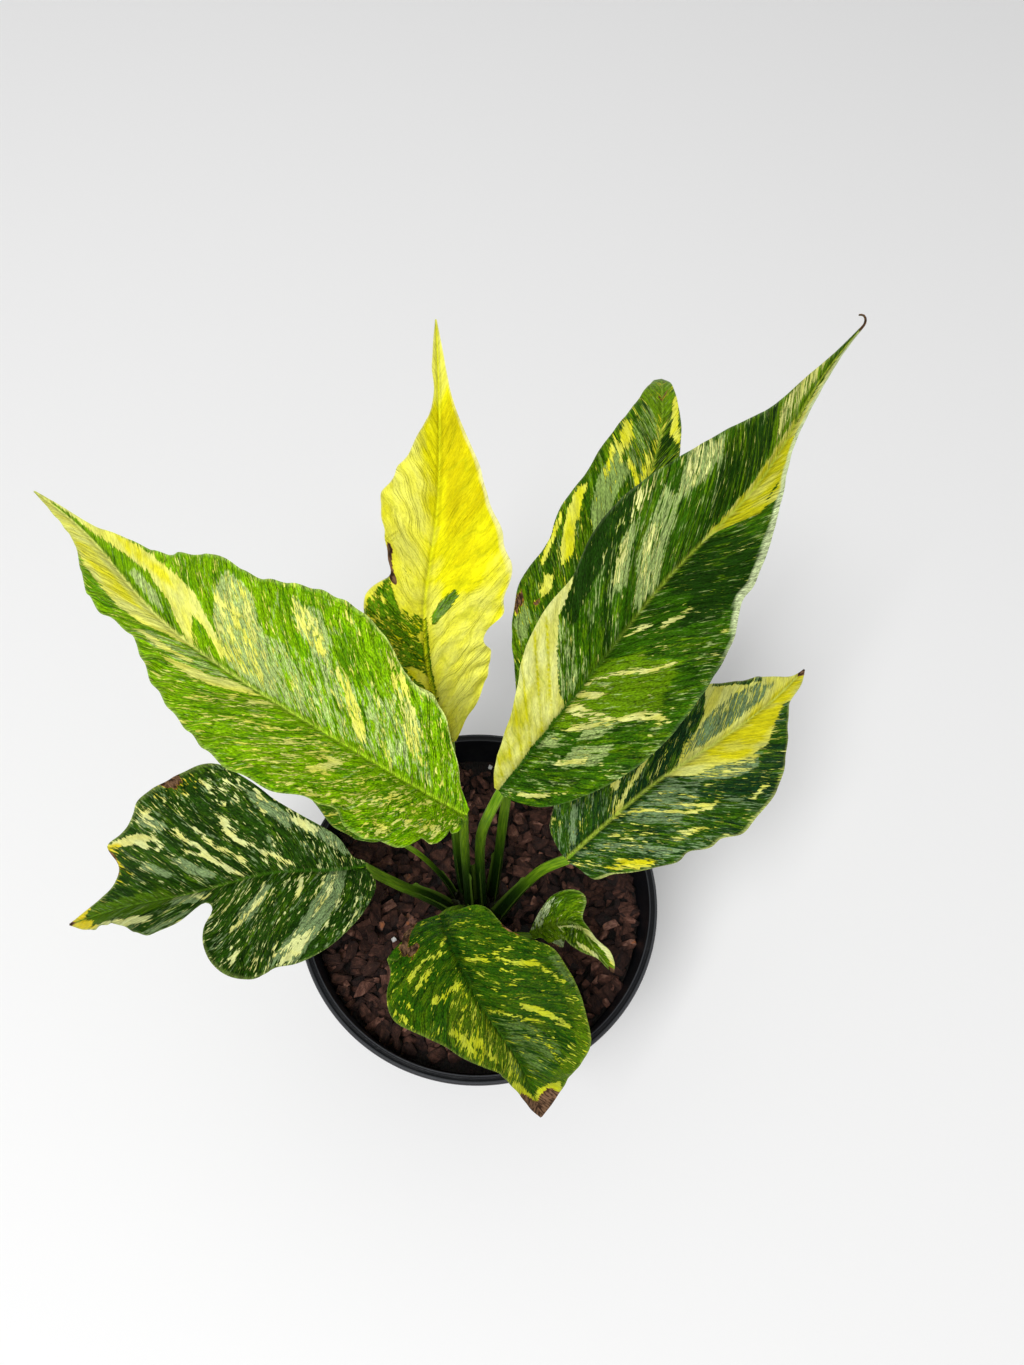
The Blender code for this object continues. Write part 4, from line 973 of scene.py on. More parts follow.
class Effects:
    """The effects that several materials share, each a node group made once."""

    KINDS: dict[str, str] = {"Place": "Vector", "Colour": "Color"}

    def __init__(self) -> None:
        """Make the groups."""
        self.flecks = self.make_flecks()
        self.veins = self.make_veins()
        self.mottle = self.make_mottle()
        self.grain = self.make_grain()

    def start(self, name: str, inputs: tuple[str, ...],
              output: str) -> tuple[Graph, dict[str, Signal]]:
        """Start a group. Its sockets carry numbers, apart from those that KINDS names.

        Args:
            name: The group's name.
            inputs: Names of its inputs.
            output: Name of its first output.

        Returns:
            Its graph, and what comes in by name.
        """
        tree = bpy.data.node_groups.new(name, "ShaderNodeTree")
        for label in inputs:
            self.add_socket(tree, label, "INPUT")
        self.add_socket(tree, output, "OUTPUT")
        graph = Graph(tree)
        tree.nodes.new("NodeGroupOutput")
        incoming = tree.nodes.new("NodeGroupInput").outputs
        return graph, {label: Signal(graph, incoming[label]) for label in inputs}

    def add_socket(self, tree: bpy.types.NodeTree, label: str, way: str) -> None:
        """Add an input or an output to a group."""
        kind = f"NodeSocket{self.KINDS.get(label, 'Float')}"
        tree.interface.new_socket(label, in_out=way, socket_type=kind)

    @staticmethod
    def finish(graph: Graph, **outputs: Signal) -> bpy.types.NodeTree:
        """Link what a group puts out, by name, and return the group."""
        target = graph.tree.nodes["Group Output"].inputs
        for name, signal in outputs.items():
            graph.put(target[name.capitalize()], signal)
        return graph.tree

    def make_flecks(self) -> bpy.types.NodeTree:
        """Fine ragged flecks drawn out along the veins, that fill a share of the surface.

        Returns:
            The group. Level is the share that is filled. Flecks thin out at their rims, and
            join up at the border of a patch, which leaves it jagged.
        """
        graph, source = self.start(
            "tissue_flecks", ("Place", "Level", "Width", "Length", "Softness", "Seed"), "Mask")
        cell = graph.combine(source["Width"], source["Length"], 1.0)
        place = graph.vector("DIVIDE", source["Place"], cell)
        place = graph.vector("ADD", place, graph.combine(source["Seed"], source["Seed"], 0.0))
        wander = graph.span(graph.noise(place, 0.18, 3.0), 0.2, 0.8, -1.3, 1.3, smooth=False)
        place = graph.vector("ADD", place, graph.combine(wander, 0.0, 0.0))
        cells = graph.node("TexVoronoi", {"Vector": place, "Scale": 0.55}, "Color",
                           voronoi_dimensions="2D")
        block = graph.node("SeparateColor", {0: cells})
        speck = graph.span(graph.noise(place, 0.8, 3.0), 0.25, 0.75, 0.0, 0.5, smooth=False)
        cloud = graph.span(graph.noise(place, 0.16, 2.0), 0.25, 0.75, 0.0, 0.28, smooth=False)
        total = graph.span(0.22 * block + (speck + cloud), 0.2, 0.8, smooth=False)
        soft = source["Softness"]
        bar = graph.span(source["Level"], 0.0, 1.0, 1.01 + soft, -0.01 - soft, smooth=False)
        return self.finish(graph, mask=graph.span(total, bar - soft, bar + soft))

    def make_veins(self) -> bpy.types.NodeTree:
        """Lateral veins and the puffed tissue between them.

        Returns:
            The group. Height is lowest on the veins, and Line is 1 on them.
        """
        graph, source = self.start("lateral_veins", ("Place", "Spacing"), "Height")
        self.add_socket(graph.tree, "Line", "OUTPUT")
        wander = graph.span(graph.noise(source["Place"], 0.05, 2.0), 0.2, 0.8, -1.5, 1.5,
                            smooth=False)
        start = graph.node("SeparateXYZ", {0: source["Place"]})
        phase = graph.math("DIVIDE", start, source["Spacing"]) + wander
        coarse = graph.math("PINGPONG", phase, 0.5)
        fine = graph.math("PINGPONG", 4.0 * phase, 0.5)
        puff = 0.75 * graph.span(coarse, 0.0, 0.42) + 0.25 * graph.span(fine, 0.0, 0.5)
        return self.finish(graph, height=puff, line=graph.span(coarse, 0.0, 0.11, 1.0, 0.0))

    def make_mottle(self) -> bpy.types.NodeTree:
        """Uneven brightness over a colour.

        Returns:
            The group. Amount is how far the colour strays from its own brightness.
        """
        graph, source = self.start("tone_mottle", ("Colour", "Place", "Size", "Amount"), "Colour")
        place = graph.vector("DIVIDE", source["Place"], graph.combine(*[source["Size"]] * 3))
        cloud = graph.span(graph.noise(place, 1.0, 3.0, plane=False), 0.25, 0.75, -1.0, 1.0,
                           smooth=False)
        gain = cloud * source["Amount"] + 1.0
        return self.finish(graph, colour=graph.brighten(source["Colour"], gain))

    def make_grain(self) -> bpy.types.NodeTree:
        """Fine grain drawn out along its place's second axis.

        Returns:
            The group. Height is the grain, from 0 to 1.
        """
        graph, source = self.start("fine_grain", ("Place", "Width", "Length"), "Height")
        cell = graph.combine(source["Width"], source["Length"], source["Width"])
        place = graph.vector("DIVIDE", source["Place"], cell)
        cloud = graph.noise(place, 1.0, 4.0, plane=False)
        return self.finish(graph, height=graph.span(cloud, 0.28, 0.72))


class Skin:
    """One material while it is made: its graph, its shader and the shared effects."""

    def __init__(self, effects: Effects, name: str, roughness: float, specular: float) -> None:
        """Start the material.

        Args:
            effects: The shared effects.
            name: The material's name.
            roughness: Roughness where nothing else is linked to it.
            specular: Strength of its reflections, where 0.5 is that of glass.
        """
        self.effects = effects
        self.material = bpy.data.materials.new(name)
        self.material.use_nodes = True
        self.graph = Graph(self.material.node_tree)
        self.shader = self.material.node_tree.nodes["Principled BSDF"].inputs
        self.shader["Roughness"].default_value = roughness
        self.shader["Specular IOR Level"].default_value = specular

    def put(self, name: str, value: Signal) -> None:
        """Link one of the shader's inputs."""
        self.graph.put(self.shader[name], value)

    def bump(self, height: Signal, depth: float) -> None:
        """Raise the surface by a height, with its depth in millimetres."""
        self.put("Normal", self.graph.node(
            "Bump", {"Height": height, "Distance": depth * MM, "Strength": 1.0}))

    def grain(self, place: Signal, width: float, length: float) -> Signal:
        """Fine grain of a width and a length."""
        return self.graph.effect(self.effects.grain, place=place, width=width, length=length)

    def mottled(self, colour: Signal, place: Signal, size: float, amount: float) -> Signal:
        """A colour with clouds of a size over it."""
        return self.graph.effect(self.effects.mottle, colour=colour, place=place, size=size,
                                 amount=amount)


class Dresser:
    """Makes the materials from their finishes."""

    def __init__(self) -> None:
        """Make the shared effects."""
        self.effects = Effects()

    def leaf(self, name: str, finish: LeafFinish, seed: float) -> bpy.types.Material:
        """Material of a blade.

        Args:
            name: The material's name.
            finish: Its colours and surface.
            seed: Shifts its flecks, so that no two leaves share them.

        Returns:
            The material.
        """
        skin = Skin(self.effects, name, finish.roughness, finish.gloss)
        skin.shader["Specular Tint"].default_value = (*finish.sheen, 1.0)
        graph = skin.graph
        vein = graph.reading("vein", "Vector")
        width, length = finish.fleck

        def mask(tissue: Tissue) -> Signal:
            """Where a tissue shows."""
            scale, softness, shift = FLECKS[tissue]
            return graph.effect(
                self.effects.flecks, place=vein, level=graph.reading(tissue.value),
                width=width * scale, length=length * scale, softness=softness, seed=seed + shift)

        unpigmented, dried = mask(PALE), mask(SCORCH)
        travel = graph.reading("travel")
        calm = graph.span(travel, 0.55, 1.0, 1.0, 0.25)
        puff = graph.effect(self.effects.veins, place=vein, spacing=finish.spacing)
        vein_line = puff.beside("Line")
        cells = skin.grain(vein, 0.32, 0.6)
        pucker = skin.grain(vein, 1.1, 1.7)
        fibre = skin.grain(vein, 0.5, 4.5)
        grit = 1.0 - 0.8 * unpigmented
        strength = 0.3 * calm * grit

        # Green tissue, from its usual green to the colourless layer over it, whose light grey flecks are
        # partly painted highlights.
        green = graph.layered(
            finish.green, (mask(DARK), finish.dark), (0.9 * mask(LIME), finish.lime),
            (0.88 * mask(GREY), finish.grey), (vein_line * strength, finish.dark))
        # Pale tissue, from cream through yellow to gold, whose deepest gold is partly painted shade.
        warm = graph.reading(YELLOW.value) + graph.span(
            graph.noise(vein, 0.16, 3.0), 0.3, 0.7, -0.25, 0.25)
        light = graph.layered(
            finish.cream, (graph.math("MULTIPLY", warm, 1.0, clamp=True), finish.yellow),
            (graph.span(warm, 1.2, 2.0), finish.gold_and_shade),
            (graph.span(fibre, 0.45, 1.0, 0.0, 0.14 * finish.fibre), finish.thin),
            (vein_line * finish.veined, finish.thin))
        # Pale over green, then midrib, margins, dried tissue and the underside.
        ridge = graph.mix(graph.span(travel, 0.2, 0.6), finish.rib, finish.rib_tip)
        char = graph.span(graph.noise(vein, 0.7, 3.0), 0.35, 0.65)
        under = graph.reading("under")
        colour = graph.layered(
            green, (graph.span(unpigmented, 0.0, 0.5), finish.thin),
            (graph.span(unpigmented, 0.4, 1.0), light),
            (0.85 * graph.reading("rib"), ridge), (0.9 * graph.reading("edge"), finish.edge),
            (graph.span(dried, 0.0, 0.5), finish.scald),
            (graph.span(dried, 0.35, 0.8), graph.mix(char, finish.burnt, finish.singed)),
            (0.35 * under, finish.under))

        # Fine brightness of cells, fibres and creases, then the gloss and the relief. Cell and pucker
        # specks are partly painted glints, the puffs between veins carry painted light and shade of the
        # relief, and the band beside the midrib is painted shade.
        shade = graph.span(graph.reading("shade"), 0.0, 1.0, 1.0, 0.75)
        speck = graph.span(cells, 0.0, 1.0, -0.38, 0.38) * grit
        speck = speck + graph.span(fibre, 0.0, 1.0, -0.16, 0.16) * grit
        speck = speck + graph.span(
            pucker, 0.0, 1.0, -0.16 * finish.pucker, 0.16 * finish.pucker)
        gain = speck + (puff - 0.7) * strength + 1.0
        skin.put("Base Color", graph.brighten(skin.mottled(colour, vein, 8.0, 0.2), gain * shade))
        rough = 0.2 * under + 0.12 * cells + 0.3 * dried
        skin.put("Roughness", rough + (finish.roughness - 0.04))
        height = puff * (calm * finish.relief) * graph.span(unpigmented, 0.3, 1.0, 1.0, 0.3)
        height = height + 0.16 * cells + 0.2 * finish.fibre * fibre
        height = height + 0.5 * finish.pucker * pucker - 0.06 * unpigmented
        skin.bump(height, 0.55)
        return skin.material

    def stem(self, name: str, finish: StemFinish) -> bpy.types.Material:
        """Material of the stems."""
        skin = Skin(self.effects, name, finish.roughness, 0.22)
        graph = skin.graph
        grain, height = graph.reading("grain", "Vector"), graph.reading("height")
        streak = skin.grain(grain, 0.55, 9.0)
        # Darker towards the foot as painted shade, with light streaks towards the top that are partly
        # painted highlights.
        colour = graph.layered(
            finish.foot, (graph.span(height, 0.25, 1.1), finish.top),
            (0.8 * (streak * graph.span(height, 0.4, 1.0)), finish.light),
            (graph.reading("edge"), finish.wing))
        skin.put("Base Color", skin.mottled(colour, grain, 7.0, 0.2))
        skin.put("Roughness", graph.span(
            streak, 0.0, 1.0, finish.roughness - 0.05, finish.roughness + 0.1))
        skin.bump(streak, 0.10)
        return skin.material

    def bark(self, name: str, finish: BarkFinish) -> bpy.types.Material:
        """Material of the bark, whose tone and grain each chip carries."""
        skin = Skin(self.effects, name, finish.roughness, 0.25)
        graph = skin.graph
        grain = graph.reading("grain", "Vector")
        width, length = finish.fibre
        fibre, lump = skin.grain(grain, width, length), skin.grain(grain, width * 4, length)
        stray = graph.span(lump, 0.0, 1.0, -0.13, 0.13, smooth=False)
        ramp = graph.node("ValToRGB", {0: graph.reading("tone") + stray})
        scale = ramp.socket.node.color_ramp.elements
        while len(scale) < len(finish.tones):
            scale.new(0.5)
        for stop, (place, colour) in zip(scale, finish.tones):
            stop.position = place
            stop.color = (*colour, 1.0)
        skin.put("Base Color", skin.mottled(ramp, grain, 1.3, 0.4))
        skin.put("Roughness", graph.span(
            fibre, 0.0, 1.0, finish.roughness + 0.1, finish.roughness - 0.12))
        skin.bump(0.6 * fibre + 0.7 * lump, 0.5)
        return skin.material

    def plastic(self, name: str, finish: PlasticFinish, brim: float) -> bpy.types.Material:
        """Material of the pot, whose rim's edges lie at a height."""
        skin = Skin(self.effects, name, finish.roughness, 0.14)
        graph = skin.graph
        place = graph.own_place()
        cloud = graph.span(graph.noise(place, 0.06, 4.0, plane=False), 0.5, 0.72)
        worn = graph.span(skin.grain(place, 5.0, 1.1), 0.62, 1.0) * cloud
        settled = graph.math("MULTIPLY", worn + cloud, 0.22, clamp=True)
        height = graph.node("SeparateXYZ", {0: place}, "Z")
        # Dust and scuffs over the plastic, then the rim's top painted lighter as a highlight.
        colour = graph.layered(finish.colour, (settled, finish.dust),
                               (graph.span(height, brim - 0.3, brim), finish.rim_highlight))
        skin.put("Base Color", skin.mottled(colour, place, 14.0, 0.15))
        skin.put("Roughness", graph.span(settled, 0.0, 0.6, finish.roughness, finish.scuffed))
        skin.bump(skin.grain(place, 0.5, 0.5) + 0.6 * worn, 0.05)
        return skin.material

    def mix(self, name: str, finish: MixFinish) -> bpy.types.Material:
        """Material of the potting mix, or of the white grains in it."""
        skin = Skin(self.effects, name, finish.roughness, 0.5)
        graph = skin.graph
        place = graph.own_place()
        crumb, dust = skin.grain(place, finish.crumb, finish.crumb), skin.grain(place, 0.4, 0.4)
        colour = graph.mix(crumb * dust, finish.dark, finish.light)
        skin.put("Base Color", skin.mottled(colour, place, 8.0, 0.3))
        skin.put("Roughness", graph.span(
            crumb, 0.0, 1.0, finish.roughness, finish.roughness - 0.15))
        skin.bump(crumb + 0.3 * dust, 0.7)
        return skin.material


def unit(vectors: np.ndarray) -> np.ndarray:
    """Vectors scaled to length one."""
    return vectors / np.linalg.norm(vectors, axis=-1, keepdims=True)


def spline(knots: np.ndarray, values: np.ndarray, places: np.ndarray) -> np.ndarray:
    """Read a natural cubic spline.

    Args:
        knots: Where the values are.
        values: What the spline runs through, one row to a knot.
        places: Where to read it.

    Returns:
        One row to a place.
    """
    knots, values = np.asarray(knots, float), np.asarray(values, float)
    step = np.diff(knots)[:, None]
    slope = np.diff(values, axis=0) / step
    system = np.eye(len(knots))
    bend = np.zeros_like(values)
    for i in range(1, len(knots) - 1):
        system[i, i - 1:i + 2] = step[i - 1, 0], 2 * (step[i - 1, 0] + step[i, 0]), step[i, 0]
        bend[i] = 3 * (slope[i] - slope[i - 1])
    bend = np.linalg.solve(system, bend)
    cell = np.clip(np.searchsorted(knots, places, side="right") - 1, 0, len(knots) - 2)
    along = (np.asarray(places) - knots[cell])[:, None]
    rise = slope[cell] - step[cell] * (2 * bend[cell] + bend[cell + 1]) / 3
    turning = (bend[cell + 1] - bend[cell]) / (3 * step[cell])
    return values[cell] + along * (rise + along * (bend[cell] + along * turning))


def walked(line: np.ndarray) -> np.ndarray:
    """Distance walked along a line of points, at each of them."""
    return np.concatenate(([0.0], np.cumsum(np.linalg.norm(np.diff(line, axis=0), axis=1))))


def smooth_line(points: object, count: int, power: float = 1.0) -> np.ndarray:
    """Draw a smooth line.

    Args:
        points: Points that it runs through.
        count: How many points to return.
        power: Share of the distance that counts, where 0.5 keeps corners tight.

    Returns:
        The line's points.
    """
    points = np.asarray(points, float)
    gaps = np.linalg.norm(np.diff(points, axis=0), axis=1) ** power
    knots = np.concatenate(([0.0], np.cumsum(gaps)))
    return spline(knots, points, np.linspace(0, knots[-1], count))


def ease(values: object, low: float, high: float) -> np.ndarray:
    """Smooth step of values between two limits."""
    share = np.clip((np.asarray(values, float) - low) / (high - low), 0, 1)
    return share * share * (3 - 2 * share)


def advance(share: np.ndarray) -> np.ndarray:
    """Share of a vein's run towards the tip that it has made at a share of the way out.

    A vein leaves the midrib steeply and bends towards the tip as it nears the margin.
    """
    return (1.2 - np.sqrt(np.maximum(0, 1.44 - 0.8 * share))) / 0.4


def clouds(places: np.ndarray, size: float, seed: float) -> np.ndarray:
    """Smooth random values from -1 to 1.

    Args:
        places: Points in a plane or in space, one row each.
        size: Size of a cloud.
        seed: Shifts the clouds.

    Returns:
        One value to a place.
    """
    points = np.zeros((len(places), 3))
    points[:, :places.shape[1]] = places / size
    return np.array([noise.noise(Vector((x + seed, y - seed, z))) for x, y, z in points])


def grid_faces(rows: int, columns: int, closed: bool = False, first: int = 0) -> np.ndarray:
    """Quads of a grid of points.

    Args:
        rows: Rows of points.
        columns: Points in a row.
        closed: Whether each row is a ring.
        first: Number of the grid's first point.

    Returns:
        Corner numbers, one row to a quad.
    """
    across = columns if closed else columns - 1
    row, column = np.meshgrid(np.arange(rows - 1), np.arange(across), indexing="ij")
    here, there = row * columns + column, row * columns + (column + 1) % columns
    quads = np.stack([here, there, there + columns, here + columns], -1)
    return first + quads.reshape(-1, 4)


def turned_body(profile: np.ndarray, segments: int) -> tuple[np.ndarray, list]:
    """Turn a profile about Z.

    Args:
        profile: Points of (radius, height), from axis to axis.
        segments: Steps round the axis.

    Returns:
        Points and faces of the closed body.
    """
    profile = np.asarray(profile, float)
    angles = math.tau * np.arange(segments) / segments
    radius, height = profile[1:-1, 0], profile[1:-1, 1]
    points = np.stack([np.outer(radius, np.cos(angles)), np.outer(radius, np.sin(angles)),
                       np.repeat(height[:, None], segments, axis=1)], -1).reshape(-1, 3)
    faces = grid_faces(len(radius), segments, closed=True).tolist()
    first, last = len(points), len(points) + 1
    points = np.vstack([points, (0, 0, profile[0][1]), (0, 0, profile[-1][1])])
    top = (len(radius) - 1) * segments
    for step in range(segments):
        after = (step + 1) % segments
        faces.append((first, after, step))
        faces.append((last, top + step, top + after))
    return points, faces


def rounded(corners: Outline, radius: float, steps: int = 3) -> list[tuple[float, float]]:
    """Round a profile's inner corners.

    Args:
        corners: The profile's points.
        radius: How far a rounding reaches from its corner, at most 0.4 of an edge.
        steps: Points that each rounding adds.

    Returns:
        The profile with its corners rounded and its ends kept.
    """
    line = [corners[0]]
    for before, corner, after in zip(corners, corners[1:], corners[2:]):
        near, mid, far = (np.array(point, float) for point in (before, corner, after))
        back, on = near - mid, far - mid
        reach = min(radius, 0.4 * np.linalg.norm(back), 0.4 * np.linalg.norm(on))
        enter, leave = mid + unit(back) * reach, mid + unit(on) * reach
        for share in np.linspace(0, 1, steps + 1):
            place = (1 - share) ** 2 * enter + 2 * share * (1 - share) * mid + share ** 2 * leave
            line.append(tuple(place))
    return [*line, corners[-1]]


def add_piece(name: str, points: np.ndarray, faces: object, material: bpy.types.Material,
              attributes: dict[str, np.ndarray] | None = None,
              sharp: float = 40.0) -> bpy.types.Object:
    """Make one piece.

    Args:
        name: The piece's name.
        points: Its points in millimetres.
        faces: Corner numbers of its faces.
        material: Its material.
        attributes: Values at its points by name, as numbers or vectors.
        sharp: Angle in degrees from which an edge stays sharp.

    Returns:
        The piece.
    """
    mesh = bpy.data.meshes.new(name)
    mesh.from_pydata((np.asarray(points) * MM).tolist(), [], np.asarray(faces, object).tolist())
    for label, values in (attributes or {}).items():
        flat = np.asarray(values, np.float32)
        kind, key = ("FLOAT_VECTOR", "vector") if flat.ndim == 2 else ("FLOAT", "value")
        mesh.attributes.new(label, kind, "POINT").data.foreach_set(key, flat.ravel())
    shape = bmesh.new()
    shape.from_mesh(mesh)
    bmesh.ops.recalc_face_normals(shape, faces=shape.faces)
    shape.to_mesh(mesh)
    shape.free()
    mesh.materials.append(material)
    mesh.shade_smooth()
    mesh.set_sharp_from_angle(angle=math.radians(sharp))
    piece = bpy.data.objects.new(name, mesh)
    bpy.context.scene.collection.objects.link(piece)
    return piece


def stand_for(piece: bpy.types.Object, slot: str, *nodes: str) -> None:
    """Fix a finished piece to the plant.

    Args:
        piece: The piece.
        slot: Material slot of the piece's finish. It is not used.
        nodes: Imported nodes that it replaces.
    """
    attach(piece, ROOT)
    if nodes:
        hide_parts(*nodes)
    log.info("%s: %d faces", piece.name, len(piece.data.polygons))


class Heap:
    """Many bodies that are gathered into one mesh, with values at their points."""

    def __init__(self) -> None:
        """Start with nothing."""
        self.count = 0
        self.points: list[np.ndarray] = []
        self.faces: list[list[int]] = []
        self.marks: dict[str, list[np.ndarray]] = {}

    def add(self, points: np.ndarray, faces: object, **marks: np.ndarray) -> None:
        """Add a body.

        Args:
            points: Its points in millimetres.
            faces: Corner numbers of its faces.
            marks: Values at its points by name.
        """
        self.faces.extend([self.count + corner for corner in face] for face in faces)
        self.points.append(points)
        self.count += len(points)
        for name, values in marks.items():
            self.marks.setdefault(name, []).append(values)

    def piece(self, name: str, material: bpy.types.Material, sharp: float) -> bpy.types.Object:
        """Make the piece, with the angle from which its edges stay sharp."""
        marks = {label: np.concatenate(values) for label, values in self.marks.items()}
        return add_piece(name, np.vstack(self.points), self.faces, material, marks, sharp)


@dataclass
class Blade:
    """A leaf's blade: a thin closed sheet with a ribbed underside, laid on a bent midrib.

    Attributes:
        shape: The leaf.
        fineness: Points on the midrib and on a margin, from which the rest is read.
        row_step: Distance between rows of the mesh along the midrib.
        columns: Columns of the mesh in each half of the blade.
        inner_columns: Distance from the midrib of the columns beside it.
        thickness: Thickness of the tissue beside the midrib.
        groove: Depth of the groove over the midrib, at its foot.
        thinning: Shares of the thickness that it loses towards the tip and the margins.
        rib: Depth of the midrib under the blade, at its foot and at its tip.
        rib_band: Half the width of the midrib's own colour, at its foot and at its tip.
        tip_half_width: Half the width of the blade's blunt tip.
        vein_lean: How far ahead of its start a row ends, per millimetre out.
        vein_spread: Share by which the rows are spaced by their ends, not by their starts.
        fold_start: Distance from the midrib over which the sheet turns into its fold.
    """

    shape: LeafShape
    fineness: tuple[int, int] = (400, 800)
    row_step: float = 0.75
    columns: int = 30
    inner_columns: tuple[float, ...] = (0.4, 0.9, 1.5, 2.3)
    thickness: float = 0.45
    groove: float = 0.55
    thinning: tuple[float, float] = (0.4, 0.66)
    rib: tuple[float, float] = (2.4, 0.35)
    rib_band: tuple[float, float] = (0.51, 0.22)
    tip_half_width: float = 0.25
    vein_lean: float = 0.55
    vein_spread: float = 0.1
    fold_start: float = 1.6

    def __post_init__(self) -> None:
        """Draw the midrib."""
        self.line = smooth_line(self.shape.midrib, self.fineness[0])
        self.distance = walked(self.line)
        self.length = float(self.distance[-1])
        self.heading = unit(np.gradient(self.line, self.distance, axis=0))

    def angle(self, values: tuple[float, ...], along: np.ndarray) -> np.ndarray:
        """An angle in radians, read evenly from foot to tip."""
        places = np.linspace(0, self.length, len(values))
        return np.radians(np.interp(along, places, values))

    def place(self, along: np.ndarray, out: np.ndarray, lift: np.ndarray) -> np.ndarray:
        """Points of the bent and folded blade.

        Args:
            along: Distance along the midrib.
            out: Distance out from it, left positive.
            lift: Height over the blade's own surface.

        Returns:
            Points in space.
        """
        centre = np.stack([np.interp(along, self.distance, axis) for axis in self.line.T], -1)
        heading = unit(
            np.stack([np.interp(along, self.distance, axis) for axis in self.heading.T], -1))
        beyond = along - np.clip(along, 0, self.length)
        centre = centre + beyond[..., None] * heading
        level = unit(np.cross((0.0, 0.0, 1.0), heading))
        roll = self.angle(self.shape.roll, along)[..., None]
        left = np.cos(roll) * level + np.sin(roll) * np.cross(heading, level)
        upper = np.cross(heading, left)
        side = np.where(out < 0, -1.0, 1.0)
        reach = np.abs(out)
        fold = np.where(out < 0, self.angle(self.shape.fold_right, along),
                        self.angle(self.shape.fold_left, along))
        per_centimetre = np.where(out < 0, self.shape.curl[1], self.shape.curl[0])
        curl = np.radians(per_centimetre) / 10
        turned = fold + curl * reach
        tilt = turned * np.clip(reach / self.fold_start, 0, 1)
        sideways = (np.sin(turned) - np.sin(fold)) / curl - lift * np.sin(tilt)
        height = (np.cos(fold) - np.cos(turned)) / curl + lift * np.cos(tilt)
        return centre + left * (side * sideways)[..., None] + upper * height[..., None]

    def margin(self, points: Outline) -> tuple[np.ndarray, np.ndarray, np.ndarray]:
        """Draw a margin.

        Args:
            points: Its points from foot to tip.

        Returns:
            The smooth margin, the share of it walked at each point, and where on the
            midrib the row of the mesh that ends there starts.
        """
        tip = (self.length, self.tip_half_width)
        line = smooth_line([*points, tip], self.fineness[1], power=0.5)
        share = walked(line) / walked(line)[-1]
        start = np.clip(line[:, 0] - self.vein_lean * line[:, 1], 0, self.length)
        start = np.maximum.accumulate(start)
        start = (1 - self.vein_spread) * start + self.vein_spread * self.length * share
        return line, share, start * self.length / start[-1]

    def rows(self, count: int) -> tuple[np.ndarray, list[np.ndarray]]:
        """Where each row of the mesh starts on the midrib and ends on both margins."""
        sides = [self.margin(self.shape.left), self.margin(self.shape.right)]
        fine = np.linspace(0, self.length, self.fineness[1])
        even = fine / self.length + sum(np.interp(fine, start, share) for _, share, start in sides)
        starts = np.interp(np.linspace(0, even[-1], count), even, fine)
        ends = [
            np.stack([np.interp(starts, start, axis) for axis in line.T], -1)
            for line, _, start in sides
        ]
        return starts, ends

    def flat(self) -> tuple[np.ndarray, np.ndarray, np.ndarray, np.ndarray]:
        """Lay out the flat grid of the blade.

        Returns:
            Places along and out, left margin first, then the share of each half's width
            at each place, and the width there.
        """
        starts, ends = self.rows(max(60, round(self.length / self.row_step)))
        even = np.linspace(0, 1, self.columns - len(self.inner_columns))[1:]
        rows = []
        for start, left, right in zip(starts, *ends):
            halves = []
            for side, (end, wide) in ((1, left), (-1, right)):
                inner = np.array(self.inner_columns) * min(1.0, wide / 8)
                reach = np.concatenate(([0.0], inner, inner[-1] + (wide - inner[-1]) * even))
                step = advance(reach / wide)
                run = start + (end - start) * (0.7 * step * (1 - step) + step * step)
                order = slice(None, None, -1) if side == 1 else slice(1, None)
                half = np.stack([run, side * reach, reach / wide, np.full(len(reach), wide)])
                halves.append(half[:, order])
            rows.append(np.hstack(halves))
        return tuple(np.stack(rows, 1))

    def vein_places(self, along: np.ndarray, out: np.ndarray) -> np.ndarray:
        """Vein coordinates of flat places, one row each."""
        lean = np.where(out[:, None] < 0, self.shape.lean[1], self.shape.lean[0])
        reach = np.abs(out)
        spread = (lean[:, 1] - lean[:, 0]) * reach / self.length
        return np.stack([(along - lean[:, 0] * reach) / (1 + spread), out], -1)

    def relief(self, along: np.ndarray, out: np.ndarray, share: np.ndarray, width: np.ndarray,
               veins: np.ndarray) -> np.ndarray:
        """Height of the upper side over the plain folded sheet.

        Args:
            along: Distance along the midrib.
            out: Distance out from it.
            share: Share of the half's width.
            width: Width of the half.
            veins: Vein coordinates.

        Returns:
            One height to a place.
        """
        height, count = self.shape.wave
        side = np.where(out < 0, -1.0, 1.0)
        wide = np.minimum(1.0, width / 10)
        ripple = np.sin(math.tau * count * along / self.length + side)
        total = height * advance(share) ** 2 * wide * ripple
        crimp, pitch = self.shape.ruffle
        turns = along / pitch + 0.8 * clouds(np.stack([along, side * 40], -1), 22.0, 1.5)
        crimp = crimp * (0.75 + 0.9 * clouds(np.stack([along, side * 60], -1), 13.0, 4.5))
        total = total + crimp * np.sin(math.tau * turns) * wide * ease(share, 0.55, 1.0)
        depth, spacing = self.shape.quilt
        seed = 3.7 * len(self.shape.name)
        wander = clouds(veins, 14.0, seed)
        puff = np.abs(np.sin(math.pi * (veins[:, 0] / spacing + 0.7 * wander)))
        reach = ease(np.abs(out), 1.0, 5.0) * (1 - 0.5 * ease(share, 0.75, 1.0)) * wide
        total = total + depth * (puff - 0.6) * reach
        folds = clouds(veins * (1.0, 0.45), 4.5, seed + 5)
        broad = clouds(np.stack([along, out], -1), 19.0, seed + 9)
        total = total + self.shape.crinkle * (0.6 * folds + 1.4 * broad) * reach
        groove = self.groove * (1 - 0.75 * along / self.length)
        return total - groove * np.exp(-(out / 1.1) ** 2) * wide

